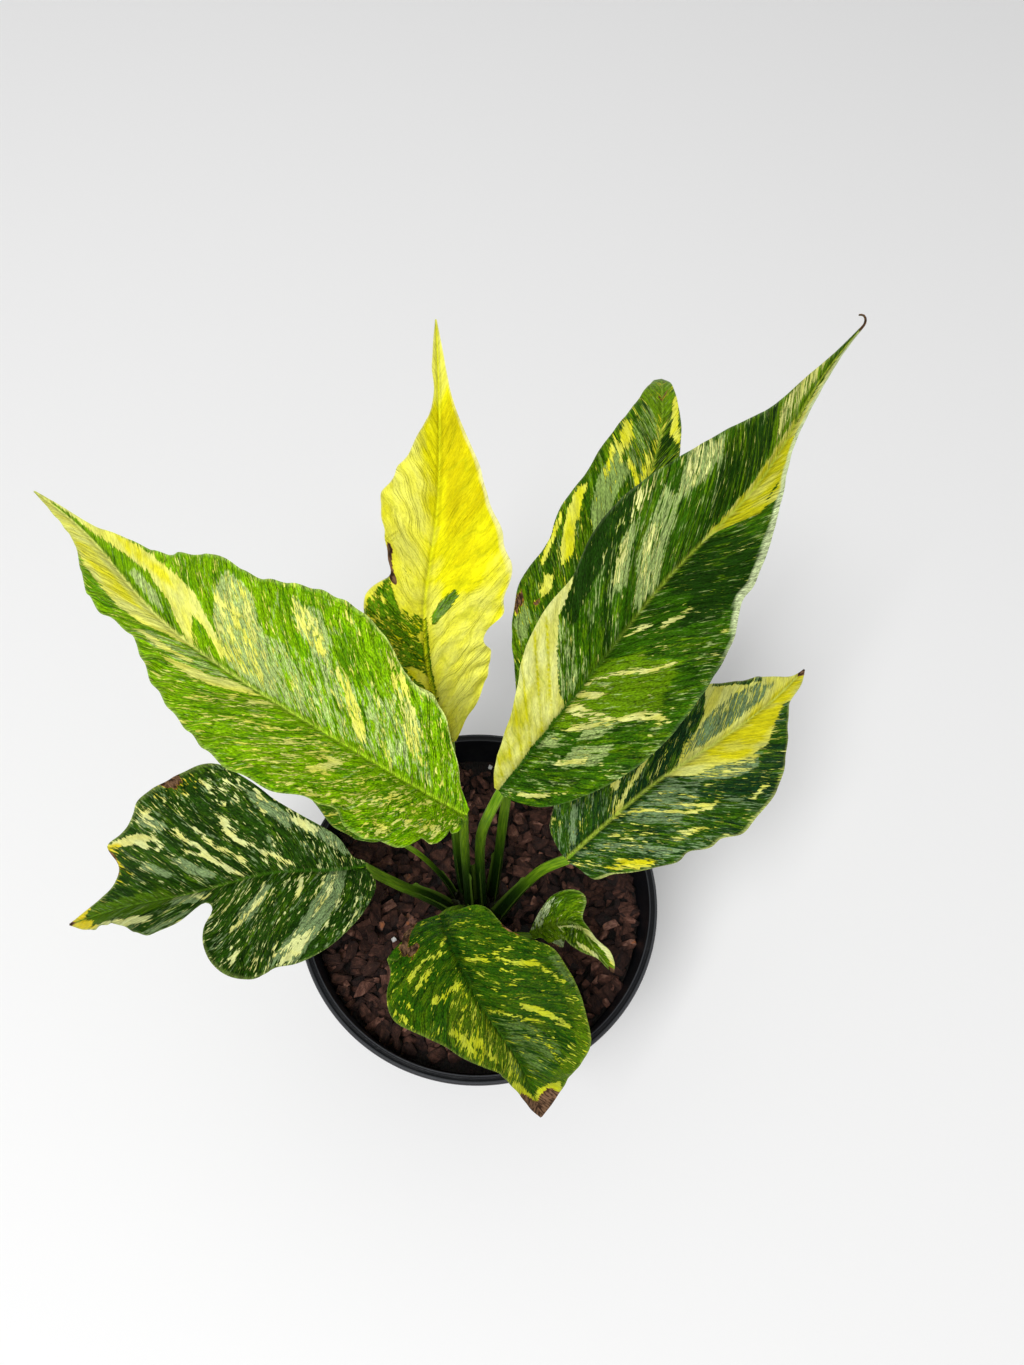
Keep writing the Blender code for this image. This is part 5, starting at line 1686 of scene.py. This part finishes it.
    def tissues(self, veins: np.ndarray) -> dict[str, np.ndarray]:
        """Levels of every tissue at vein coordinates, by attribute name."""
        levels = {
            tissue: np.full(len(veins), self.shape.levels.get(tissue, 0.0)) for tissue in Tissue
        }
        for patch in self.shape.patches:
            levels[patch.tissue] = patch.paint(levels[patch.tissue], veins)
        return {tissue.value: level for tissue, level in levels.items()}

    def build(self, material: bpy.types.Material) -> bpy.types.Object:
        """Build the blade.

        Args:
            material: Its material.

        Returns:
            The piece.
        """
        grids = self.flat()
        count, across = grids[0].shape
        along, out, share, width = (grid.ravel() for grid in grids)
        veins = self.vein_places(along, out)
        lift = self.relief(along, out, share, width, veins)
        travel = np.clip(along / self.length, 0, 1)
        sheet = self.thickness * (1 - self.thinning[0] * travel)
        sheet = sheet * (1 - self.thinning[1] * ease(share, 0.6, 1.0))
        depth = self.rib[0] + (self.rib[1] - self.rib[0]) * np.sqrt(travel)
        bulge = np.sqrt(np.maximum(0.0, 1 - (out / (0.8 * depth + 0.2)) ** 2))
        below = lift - np.maximum(sheet, depth * bulge)
        points = np.vstack([self.place(along, out, lift), self.place(along, out, below)])
        size = count * across
        upper = grid_faces(count, across)
        lower = grid_faces(count, across, first=size)[:, ::-1]
        rim = np.concatenate([
            np.arange(across - 1), np.arange(count - 1) * across + across - 1,
            size - 1 - np.arange(across - 1), (count - 1 - np.arange(count - 1)) * across])
        after = np.roll(rim, -1)
        walls = np.stack([rim, rim + size, after + size, after], -1)
        faces = np.concatenate([upper, lower, walls])
        foot_band, tip_band = self.rib_band
        band = tip_band + (foot_band - tip_band) * (1 - travel) ** 0.7
        ribless = ease(np.abs(out), 0.6 * band, 1.3 * band)
        ragged = 0.1 + 0.2 * clouds(np.stack([along, out], -1), 3.0, 8.0)
        strip = np.where(out < 0, np.interp(along, *np.array(self.shape.turned, float).T), 0)
        inside = width * (1 - share) - ragged
        edge = np.maximum(self.shape.line * (1 - ease(inside, 0.0, 0.5)),
                          (1 - ease(inside - strip, 0.0, 0.5)) * ease(strip, 0.0, 0.4))
        marks = {
            **self.tissues(veins),
            "rib": 1 - ribless,
            "shade": ribless * (1 - ease(np.abs(out), 1.6 * band, 4.5 * band)),
            "travel": travel,
            "edge": edge * ease(along, 1.0, 8.0),
        }
        attributes = {name: np.tile(values, 2) for name, values in marks.items()}
        attributes["under"] = np.repeat((0.0, 1.0), size)
        attributes["vein"] = np.tile(np.column_stack([veins, np.zeros(size)]), (2, 1))
        return add_piece(f"{self.shape.name}_blade_tissue", points, faces, material, attributes,
                         sharp=60)


@dataclass
class Petiole:
    """A leaf's stem: channelled above, winged by its sheath, and run on under the blade.

    Attributes:
        blade: The blade that it carries.
        crown_top: Height at which it leaves the crown.
        sunk: How far its foot is sunk in the crown's sheaths.
        run_on: How far it runs on under the blade.
        taper: Share of its radius that it loses on its way up.
        wing: Height of the sheath's wings at the foot.
        crest: Angle in degrees above the stem's sides at which the wings stand.
        wing_width: Half the angle that a wing takes up, in radians.
        channel: Depth of the channel, and of the groove along it, as shares of the radius.
        under_blade: Depth of its middle under the blade's upper side.
        rings: Rings of the mesh in the crown, between crown and blade, and under the blade.
    """

    blade: Blade
    crown_top: float = 97.3
    sunk: float = 3.0
    run_on: float = 12.0
    taper: float = 0.14
    wing: float = 1.5
    crest: float = 42.0
    wing_width: float = 0.12
    channel: tuple[float, float] = (0.40, 0.12)
    under_blade: float = 1.3
    rings: tuple[int, int, int] = (4, 90, 16)

    def path(self) -> tuple[np.ndarray, np.ndarray, np.ndarray]:
        """Draw the middle line.

        Returns:
            Its points, its headings, and the share of the stem at each point, which passes 1
            under the blade.
        """
        shape = self.blade.shape
        root = np.array((*shape.stem[0], self.crown_top))
        heading = self.blade.heading[0]
        across = unit(np.cross((0.0, 0.0, 1.0), heading))
        under = self.blade.line[0] - self.under_blade * np.cross(heading, across)
        sunk, free, hidden = self.rings
        line = smooth_line([root, *shape.stem[1:], under - 0.3 * heading], free)
        start = unit(line[1] - line[0])
        foot = line[0] - np.outer(np.linspace(self.sunk, 0.5, sunk), start)
        reach = np.linspace(0.8, min(self.run_on, 0.2 * self.blade.length), hidden)
        travel = reach / reach[-1]
        ends = self.blade.place(reach, np.zeros(hidden), -self.under_blade + 0.1 * travel)
        total = walked(line)[-1]
        share = np.concatenate((np.zeros(sunk), walked(line) / total, 1 + travel))
        whole = np.vstack([foot, line, ends])
        return whole, unit(np.gradient(whole, walked(whole), axis=0)), share

    def build(self, material: bpy.types.Material) -> bpy.types.Object:
        """Build the stem.

        Args:
            material: Its material.

        Returns:
            The piece.
        """
        shape = self.blade.shape
        line, headings, share = self.path()
        across = unit(np.cross((0.0, 0.0, 1.0), self.blade.heading[0]))
        stem = np.clip(share, 0, 1)
        swell = 1 + (shape.sheath - 1) * np.sqrt(np.maximum(0.0, 1 - stem / 0.45))
        radius = shape.stem_radius * (1 - self.taper * stem) * (1 - 0.65 * ease(share, 1.0, 2.0))
        ends = shape.sheath_end
        fin = self.wing * (1 - 0.45 * stem / ends) * (1 + 0.5 * ease(stem, ends - 0.06, ends))
        fin = fin * (1 - ease(stem, ends, ends + 0.02)) * shape.stem_radius / 1.85
        crest = math.radians(self.crest)
        spread = np.array((-0.16, -0.07, 0.0, 0.07, 0.16))
        turns = np.sort(np.concatenate([
            np.linspace(math.pi, math.tau, 13), np.linspace(0.15, 0.45, 3),
            np.linspace(1.0, math.pi - 1.0, 7), np.linspace(math.pi - 0.45, math.pi - 0.15, 3),
            crest + spread, math.pi - crest + spread]))
        rings, wings, grain = [], [], []
        walk = walked(line)
        for at, centre in enumerate(line):
            left = unit(across - np.dot(across, headings[at]) * headings[at])
            upper = np.cross(headings[at], left)
            wide, deep = np.cos(turns), np.sin(turns)
            hollow = self.channel[0] * ease(deep, 0.3, 0.95)
            hollow = hollow + self.channel[1] * np.exp(-(wide / 0.3) ** 2) * (deep > 0)
            off = np.minimum(abs(turns - crest), abs(turns - math.pi + crest))
            wing = fin[at] * np.maximum(0.0, 1 - off / self.wing_width)
            body = radius[at] * np.where(deep > 0, 1 - hollow * ease(stem[at], 0.0, 0.1), 1.0)
            wide = radius[at] * swell[at] * wide + 0.55 * wing * np.sign(wide)
            deep = body * deep + 0.85 * wing
            rings.append(centre + np.outer(wide, left) + np.outer(deep, upper))
            wings.append(np.minimum(1.0, wing / 0.8))
            grain.append(np.column_stack([turns * shape.stem_radius,
                                          np.full(len(turns), walk[at]), 0 * turns]))
        sides = len(turns)
        faces = grid_faces(len(line), sides, closed=True).tolist()
        faces.append(tuple(range(sides)))
        faces.append(tuple((len(line) - 1) * sides + i for i in range(sides)))
        attributes = {"edge": np.concatenate(wings), "grain": np.concatenate(grain),
                      "height": np.repeat(stem, sides)}
        return add_piece(f"{shape.name}_petiole", np.concatenate(rings), faces, material,
                         attributes, sharp=55)


@dataclass
class NurseryPot:
    """The pot: tapered wall, floor with drain holes, and a rim with a turned-down skirt.

    Attributes:
        height: Height of the pot.
        rim_radius: Radius of the rim, over its skirt.
        rim_width: Width of the rim's top.
        skirt: Height and thickness of the skirt.
        draft: How far the skirt leans in at its foot.
        foot_radius: Radius at the foot.
        wall: Thickness of the wall.
        floor: Thickness of the floor.
        drains: Number of drain holes, their radius and that of the circle they stand on.
        segments: Steps round the pot.
    """

    height: float = 112.0
    rim_radius: float = 65.0
    rim_width: float = 3.3
    skirt: tuple[float, float] = (12.5, 1.3)
    draft: float = 1.8
    foot_radius: float = 46.6
    wall: float = 1.1
    floor: float = 1.8
    drains: tuple[int, float, float] = (6, 4.0, 31.0)
    segments: int = 192

    def wall_radius(self, height: float | np.ndarray) -> float | np.ndarray:
        """Outer radius of the tapered wall at a height."""
        top = self.rim_radius - self.rim_width + self.wall
        return self.foot_radius + (top - self.foot_radius) * height / self.height

    def profile(self) -> list[tuple[float, float]]:
        """Draw the section from the underside's middle, over the rim, to the floor's middle."""
        top, rim = self.height, self.rim_radius
        skirt_foot, groove_top = top - self.skirt[0], top - 2.0
        inside, inner_edge = rim - self.skirt[1], rim - self.rim_width
        inner = self.floor
        corners = (
            (0, 0.9), (self.foot_radius - 12, 0.9), (self.foot_radius - 13.5, 0),
            (self.foot_radius - 2.0, 0), (self.foot_radius - 0.5, 0.6),
            (self.wall_radius(2.2), 2.2), (self.wall_radius(groove_top), groove_top),
            (inside, groove_top), (inside - self.draft, skirt_foot),
            (rim - self.draft, skirt_foot), (rim, top - 1.5), (rim - 0.35, top),
            (rim - 1.1, top), (rim - 1.4, top - 0.5), (inner_edge + 0.9, top - 0.5),
            (inner_edge + 0.65, top - 0.1), (inner_edge + 0.2, top - 0.1),
            (inner_edge, top - 1.0), (self.wall_radius(top - 8) - self.wall, top - 8),
            (self.wall_radius(inner + 2) - self.wall, inner + 2),
            (self.wall_radius(inner) - self.wall - 1.8, inner), (0, inner),
        )
        return rounded(corners, 0.5)

    def build(self, material: bpy.types.Material) -> bpy.types.Object:
        """Build the pot.

        Args:
            material: Its material.

        Returns:
            The piece.
        """
        pot = add_piece("pot_shell", *turned_body(self.profile(), self.segments), material)
        count, radius, circle = self.drains
        cutters = []
        for number in range(count):
            turned = math.tau * (number + 0.5) / count
            middle = Vector((circle * math.cos(turned), circle * math.sin(turned), 0)) * MM
            bpy.ops.mesh.primitive_cylinder_add(
                vertices=48, radius=radius * MM, depth=4 * self.floor * MM, location=middle)
            cutter = bpy.context.object
            cut = pot.modifiers.new(f"drain_{number}", "BOOLEAN")
            cut.object, cut.operation, cut.solver = cutter, "DIFFERENCE", "MANIFOLD"
            cutters.append(cutter)
        bpy.context.view_layer.update()
        cut_mesh = bpy.data.meshes.new_from_object(
            pot.evaluated_get(bpy.context.evaluated_depsgraph_get()))
        pot.modifiers.clear()
        pot.data = cut_mesh
        cut_mesh.shade_smooth()
        cut_mesh.set_sharp_from_angle(angle=math.radians(40))
        for cutter in cutters:
            bpy.data.objects.remove(cutter, do_unlink=True)
        return pot


@dataclass
class ChipMaker:
    """Makes broken chips of bark, as hulls of random points with worn edges.

    Attributes:
        seed: Seed of every choice.
        variety: How many kinds it makes, which every chip is turned and scaled from.
        corners: Points that a kind's hull is laid round.
        worn: Width of the worn edges, where a chip is 1 long, wide and thick.
    """

    seed: int
    variety: int
    corners: int = 18
    worn: float = 0.035

    def __post_init__(self) -> None:
        """Make the kinds."""
        self.dice = random.Random(self.seed)
        self.kinds = [self.break_off() for _ in range(self.variety)]

    def break_off(self) -> tuple[np.ndarray, list[list[int]]]:
        """Break off one chip of length, width and thickness 1."""
        shape = bmesh.new()
        for _ in range(self.corners):
            place = [self.dice.uniform(-0.5, 0.5) for _ in range(3)]
            flat = self.dice.choice((0, 1, 1, 2, 2))
            place[flat] = math.copysign(self.dice.uniform(0.38, 0.5), place[flat])
            shape.verts.new(place)
        hull = bmesh.ops.convex_hull(shape, input=shape.verts)
        inner = {item for item in hull["geom_interior"] if isinstance(item, bmesh.types.BMVert)}
        bmesh.ops.delete(shape, geom=list(inner), context="VERTS")
        bmesh.ops.bevel(shape, geom=shape.edges, offset=self.worn, offset_type="OFFSET",
                        segments=1, affect="EDGES", clamp_overlap=True)
        bmesh.ops.remove_doubles(shape, verts=shape.verts, dist=0.004)
        shape.verts.index_update()
        points = np.array([vertex.co for vertex in shape.verts])
        faces = [[vertex.index for vertex in face.verts] for face in shape.faces]
        shape.free()
        return points, faces

    def lay(self, centre: tuple[float, float, float], size: tuple[float, float, float],
            heading: float, tilt: float) -> tuple[np.ndarray, list[list[int]], np.ndarray]:
        """Lay one chip.

        Args:
            centre: Its middle.
            size: Length, width and thickness.
            heading: Direction of its length in degrees.
            tilt: Most degrees that it leans.

        Returns:
            Points, faces and the place of each point in the chip's own grain.
        """
        points, faces = self.dice.choice(self.kinds)
        own = points * size
        turn = Matrix.Rotation(math.radians(heading), 3, "Z")
        turn @= Matrix.Rotation(math.radians(self.dice.uniform(-tilt, tilt)), 3, "Y")
        turn @= Matrix.Rotation(math.radians(self.dice.uniform(-tilt, tilt)), 3, "X")
        shift = np.array([self.dice.uniform(0, 400) for _ in range(3)])
        return own @ np.array(turn).T + np.array(centre), faces, own[:, [1, 0, 2]] + shift


@dataclass
class Mulch:
    """The bark over the potting mix: a bed painted near black as the shade between the chips, the chips in
    it and the loose ones on it.

    Attributes:
        pot: The pot that holds it.
        top: Mean height of its surface.
        foot: Height of its underside.
        hole: Radius round the crown that it leaves free.
        banked: How much higher it lies along the wall.
        spacing: Distance between the chips' middles.
        jitter: How far a chip strays from its place, as a share of the spacing.
        rise: Lowest and highest that a chip lies against its neighbours.
        tilt: Most degrees that a chip leans.
        length: Shortest and longest chip.
        width: Least and greatest width of a chip, as a share of its length.
        thickness: Thinnest and thickest chip.
        clear: Distance that the chips' middles keep from a stem's, and from the crown's.
        gap: Gap between the bed and the wall.
        bed_depth: Depth of the bed's surface under the mean height.
        bed_grid: Steps round the bed, and points on each section of its top.
        gap_shade_tone: Tone of the bed between the chips, near black as painted shade.
        sharp: Angle in degrees from which a chip's edges stay sharp.
        loose: Heading in degrees of each loose chip.
    """

    pot: NurseryPot
    top: float = 98.0
    foot: float = 86.3
    hole: float = 12.3
    banked: float = 2.4
    spacing: float = 3.2
    jitter: float = 0.35
    rise: tuple[float, float] = (-2.5, 1.2)
    tilt: float = 24.0
    length: tuple[float, float] = (3.8, 9.2)
    width: tuple[float, float] = (0.45, 0.75)
    thickness: tuple[float, float] = (1.5, 3.0)
    clear: tuple[float, float] = (3.6, 8.5)
    gap: float = 0.3
    bed_depth: float = 2.2
    bed_grid: tuple[int, int] = (160, 34)
    gap_shade_tone: float = 0.02
    sharp: float = 48.0
    loose: tuple[float, ...] = (35, 100, 160, 20, 75, 120, 10, 60, 140, 50)

    def reach(self) -> float:
        """Radius that the bark reaches at its mean height."""
        return self.pot.wall_radius(self.top) - self.pot.wall - self.gap

    def bank(self, away: np.ndarray | float) -> np.ndarray | float:
        """How much higher than its mean the bark lies at a distance from the middle."""
        return self.banked * ease(away, self.reach() - 9, self.reach())

    def bed(self) -> tuple[np.ndarray, np.ndarray]:
        """Build the bed as a closed ring whose top is rough."""
        steps, across = self.bed_grid
        under = self.pot.wall_radius(self.foot) - self.pot.wall - self.gap
        radii = np.linspace(self.hole, self.reach(), across)
        angles = math.tau * np.arange(steps) / steps
        ring = [(radius, self.top - self.bed_depth + self.bank(radius)) for radius in radii]
        ring = np.array([*ring, (under, self.foot), (self.hole, self.foot)])
        points = np.stack([np.outer(np.cos(angles), ring[:, 0]),
                           np.outer(np.sin(angles), ring[:, 0]),
                           np.tile(ring[:, 1], (steps, 1))], -1)
        top = points[:, :across].reshape(-1, 3)
        top[:, 2] += 0.9 * clouds(top[:, :2], 2.6, 4.0)
        points[:, :across] = top.reshape(steps, across, 3)
        sides = len(ring)
        faces = grid_faces(steps, sides, closed=True)
        here = np.arange(sides)
        after, last = (here + 1) % sides, (steps - 1) * sides
        seam = np.stack([last + here, last + after, after, here], -1)
        return points.reshape(-1, 3), np.concatenate([faces, seam])

    def build(self, material: bpy.types.Material, roots: list[tuple[float, float]]) -> list[
            bpy.types.Object]:
        """Build the mulch and the loose chips.

        Args:
            material: The bark's material.
            roots: Where stems rise, which chips keep clear of.

        Returns:
            The pieces, the mulch first.
        """
        maker, heap = ChipMaker(17, 24), Heap()
        dice = maker.dice
        points, faces = self.bed()
        # The bed takes a near-black tone, as painted shade between the chips.
        heap.add(points, faces, grain=points, tone=np.full(len(points), self.gap_shade_tone))
        outer = self.reach()
        rows = math.ceil(outer / self.spacing)
        for row in range(-rows, rows + 1):
            for column in range(-rows, rows + 1):
                x, y = (dice.uniform(-self.jitter, self.jitter) for _ in range(2))
                x = (column + 0.5 * (row % 2) + x) * self.spacing
                y = (row + y) * self.spacing * 0.88
                length = self.length[0] + (self.length[1] - self.length[0]) * dice.random() ** 1.6
                away = math.hypot(x, y)
                crowded = any(math.hypot(x - u, y - v) < self.clear[0] for u, v in roots)
                if crowded or not self.clear[1] <= away <= outer:
                    continue
                inward = min(1.0, (outer + 0.3 - 0.38 * length) / away)
                x, y = inward * x, inward * y
                size = (length, length * dice.uniform(*self.width), dice.uniform(*self.thickness))
                rise = 0.7 * noise.noise(Vector((x / 9, y / 9, 3.0))) + dice.uniform(*self.rise)
                middle = self.top - 0.3 + rise + self.bank(inward * away)
                made, shape, grain = maker.lay((x, y, middle), size, dice.uniform(0, 360),
                                              self.tilt)
                # No chip reaches into the wall.
                room = self.pot.wall_radius(made[:, 2]) - self.pot.wall - 0.05
                made[:, :2] *= np.minimum(1, room / np.hypot(*made[:, :2].T))[:, None]
                # Each chip darkens towards its underside: painted shade between the chips, with fine dust.
                sunk = 0.3 + 0.7 * ease(made[:, 2] - middle, -0.1 * size[2], 0.35 * size[2])
                heap.add(made, shape, grain=grain, tone=dice.triangular(0.0, 1.0, 0.42) * sunk)
        pieces = [heap.piece("mulch_chips", material, self.sharp)]
        for number, heading in enumerate(self.loose, 1):
            low, high = (np.array(corner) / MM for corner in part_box(f"bark_chip_{number}"))
            length = 1.02 * max(high[:2] - low[:2])
            middle = (low + high) / 2
            size = (length, 0.6 * length, 2.3)
            made, shape, grain = maker.lay((*middle[:2], middle[2] - 0.2), size, heading, 8)
            pieces.append(add_piece(
                f"loose_chip_{number}", made, shape, material,
                {"grain": grain, "tone": np.full(len(made), dice.uniform(0.3, 0.75))},
                self.sharp))
        return pieces


@dataclass
class Crown:
    """The short rootstock, with the old sheath bases that clasp the stems.

    Attributes:
        foot: Height of its underside.
        top: Mean height of its surface.
        radius: Radius of the rootstock.
        collar_foot: Height at which the sheath bases start.
        collar: Height of the shortest sheath base.
    """

    foot: float = 86.3
    top: float = 96.5
    radius: float = 11.6
    collar_foot: float = 90.0
    collar: float = 11.0

    def build(self, material: bpy.types.Material,
              stems: list[tuple[float, float, float]]) -> bpy.types.Object:
        """Build the crown.

        Args:
            material: Its material.
            stems: Place and radius of each stem's foot.

        Returns:
            The piece.
        """
        heights = np.linspace(self.foot, self.top, 9)
        radii = self.radius * (1 - 0.25 * ease(heights, self.top - 5, self.top))
        profile = [(0, self.foot), *zip(radii, heights), (0.45 * self.radius, self.top + 0.6),
                   (0, self.top + 0.8)]
        points, faces = turned_body(np.array(profile), 72)
        lumps = clouds(points, 2.4, 2.0)
        points = points + np.column_stack([points[:, :2] * lumps[:, None] * 0.05, 0.5 * lumps])
        heap = Heap()
        heap.add(points, faces)
        for number, (x, y, radius) in enumerate(stems):
            lift = np.linspace(0, 1, 9)
            swell = radius * (1.15 + 0.55 * (1 - lift) ** 1.5)
            rise = self.collar_foot + lift * (self.collar + number % 3)
            collar = np.column_stack([swell, rise])
            inside = [(radius * 0.95, rise[-1] - 0.3), (radius * 0.9, rise[-1] - 2.5)]
            body, sides = turned_body(
                [(0, self.collar_foot), *collar, *inside, (0, rise[-1] - 2.5)], 28)
            angle = np.arctan2(body[:, 1], body[:, 0])
            up = ease(body[:, 2], self.collar_foot + 2, rise[-1])
            body[:, 2] += up * 1.2 * np.sin(2 * angle + number) * (body[:, 2] > rise[-1] - 3)
            body[:, :2] *= 1 + 0.06 * np.sin(9 * angle + number)[:, None]
            heap.add(body + (x, y, 0), sides)
        places = np.vstack(heap.points)
        heap.marks = {"height": [np.clip((places[:, 2] - 95) / 20, 0, 1)], "grain": [places],
                      "edge": [np.zeros(heap.count)]}
        return heap.piece("crown_sheaths", material, sharp=60)


@dataclass
class PerliteGrains:
    """The few white grains of the mix that show between the chips.

    Attributes:
        places: Where each grain lies.
        height: Height of the grains' middles.
        size: Smallest and largest grain.
    """

    places: Outline = ((-29.4, -16), (-0.7, 56))
    height: float = 100.6
    size: tuple[float, float] = (1.6, 2.2)

    def build(self, material: bpy.types.Material) -> bpy.types.Object:
        """Build the grains as one piece."""
        maker, heap = ChipMaker(3, 5), Heap()
        for x, y in self.places:
            size = maker.dice.uniform(*self.size)
            made, shape, _ = maker.lay((x, y, self.height), (size, size * 0.85, size * 0.8),
                                       maker.dice.uniform(0, 360), 40)
            heap.add(made, shape)
        return heap.piece("perlite_grains", material, sharp=30)


@dataclass
class Studio:
    """Floor, lights and camera.

    Attributes:
        eye: Place of the camera.
        pitch: How far it looks down, in degrees.
        roll: How far it is rolled, in degrees.
        lens: Its focal length for a sensor of 36 mm along the longer side.
        lamp: Place, width and power of the one large lamp.
        aim: Place that the lamp points at.
        sky: Strength of the even light from all round.
        floor: Colour of the floor.
        floor_radius: Radius of the floor.
    """

    eye: tuple[float, float, float] = (4.747, -117.578, 478.342)
    pitch: float = 60.5867
    roll: float = 5.2864
    lens: float = 27.47
    lamp: tuple[tuple[float, float, float], float, float] = ((-500, -1000, 2300), 900, 50.0)
    aim: tuple[float, float, float] = (0, 20, 200)
    sky: float = 0.35
    floor: Colour = (0.90, 0.90, 0.90)
    floor_radius: float = 4000.0

    def build(self) -> None:
        """Build the whole setting."""
        self.add_floor()
        self.add_camera()
        self.add_light()
        bpy.context.scene.view_settings.view_transform = "Standard"

    def add_floor(self) -> None:
        """Lay the pale floor."""
        material = bpy.data.materials.new("pale_floor")
        material.use_nodes = True
        shader = material.node_tree.nodes["Principled BSDF"].inputs
        shader["Base Color"].default_value = (*self.floor, 1.0)
        shader["Roughness"].default_value = 0.6
        angles = math.tau * np.arange(96) / 96
        rim = self.floor_radius * np.column_stack([np.cos(angles), np.sin(angles), 0 * angles])
        floor = add_piece("studio_floor", rim, [tuple(range(96))], material)

    def add_camera(self) -> None:
        """Set up the camera."""
        camera = bpy.data.objects.new("view_camera", bpy.data.cameras.new("view_camera"))
        camera.data.lens = self.lens
        camera.data.clip_start = 0.01
        turn = Matrix.Rotation(math.radians(90 - self.pitch), 4, "X")
        turn @= Matrix.Rotation(math.radians(self.roll), 4, "Z")
        camera.matrix_world = Matrix.Translation(Vector(self.eye) * MM) @ turn
        bpy.context.scene.collection.objects.link(camera)
        bpy.context.scene.camera = camera

    def add_light(self) -> None:
        """Set up the large lamp and the even light, with a white backdrop behind it all."""
        place, width, power = self.lamp
        lamp = bpy.data.lights.new("large_lamp", "AREA")
        lamp.shape = "SQUARE"
        lamp.size = width * MM
        lamp.energy = power
        holder = bpy.data.objects.new("large_lamp", lamp)
        holder.location = Vector(place) * MM
        towards = Vector(self.aim) - Vector(place)
        holder.rotation_euler = towards.to_track_quat("-Z", "Y").to_euler()
        bpy.context.scene.collection.objects.link(holder)
        world = bpy.data.worlds.new("studio_world")
        world.use_nodes = True
        bpy.context.scene.world = world
        graph = Graph(world.node_tree)
        path = graph.node("LightPath", {}, "Is Camera Ray")
        seen = graph.math("ADD", path + path.beside("Is Glossy Ray"),
                          path.beside("Is Transmission Ray"), clamp=True)
        backdrop = world.node_tree.nodes["Background"].inputs
        backdrop["Color"].default_value = (1.0, 1.0, 1.0, 1.0)
        graph.put(backdrop["Strength"], graph.span(seen, 0.0, 1.0, self.sky, 1.0))


def clear_strays() -> None:
    """Remove objects that a new file starts with."""
    for name in ("Cube", "Light", "Camera"):
        stray = bpy.data.objects.get(name)
        if stray is not None:
            bpy.data.objects.remove(stray, do_unlink=True)


def main() -> None:
    """Build and dress every piece, then the setting."""
    clear_strays()
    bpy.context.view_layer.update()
    dresser = Dresser()
    pot = NurseryPot()
    plastic = dresser.plastic("black_plastic", PlasticFinish(), pot.height)
    stand_for(pot.build(plastic), "pot_plastic", "pot")
    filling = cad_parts["potting_mix"]
    filling.data.materials.clear()
    filling.data.materials.append(dresser.mix("damp_mix", MixFinish()))
    roots = [shape.stem[0] for shape in LEAVES]
    mulch, *loose = Mulch(pot).build(dresser.bark("broken_bark", BarkFinish()), roots)
    stand_for(mulch, "bark", "bark_mulch")
    for number, chip in enumerate(loose, 1):
        stand_for(chip, "bark", f"bark_chip_{number}")
    white = MixFinish((0.80, 0.80, 0.78), (0.95, 0.95, 0.93), roughness=0.85, crumb=0.7)
    stand_for(PerliteGrains().build(dresser.mix("white_perlite", white)), "potting_mix")
    stem_skin = dresser.stem("stem_skin", StemFinish())
    # The sheath bases are near black, partly as painted shade between the stems' feet.
    sheath_skin = dresser.stem("sheath_skin", StemFinish(
        foot=(0.016, 0.016, 0.006), top=(0.014, 0.040, 0.003), light=(0.060, 0.085, 0.020),
        roughness=0.5))
    feet = [(*shape.stem[0], shape.stem_radius * shape.sheath) for shape in LEAVES]
    stand_for(Crown().build(sheath_skin, feet), "crown", "crown")
    for number, shape in enumerate(LEAVES):
        blade = Blade(shape)
        skin = dresser.leaf(f"{shape.name}_tissue", shape.finish, 11.3 * number)
        stand_for(blade.build(skin), shape.slot, f"{shape.name}_blade")
        stand_for(Petiole(blade).build(stem_skin), "stem", f"{shape.name}_stem")
    Studio().build()


if __name__ == "__main__":
    logging.basicConfig(level=logging.INFO, format="%(name)s: %(message)s")
    main()
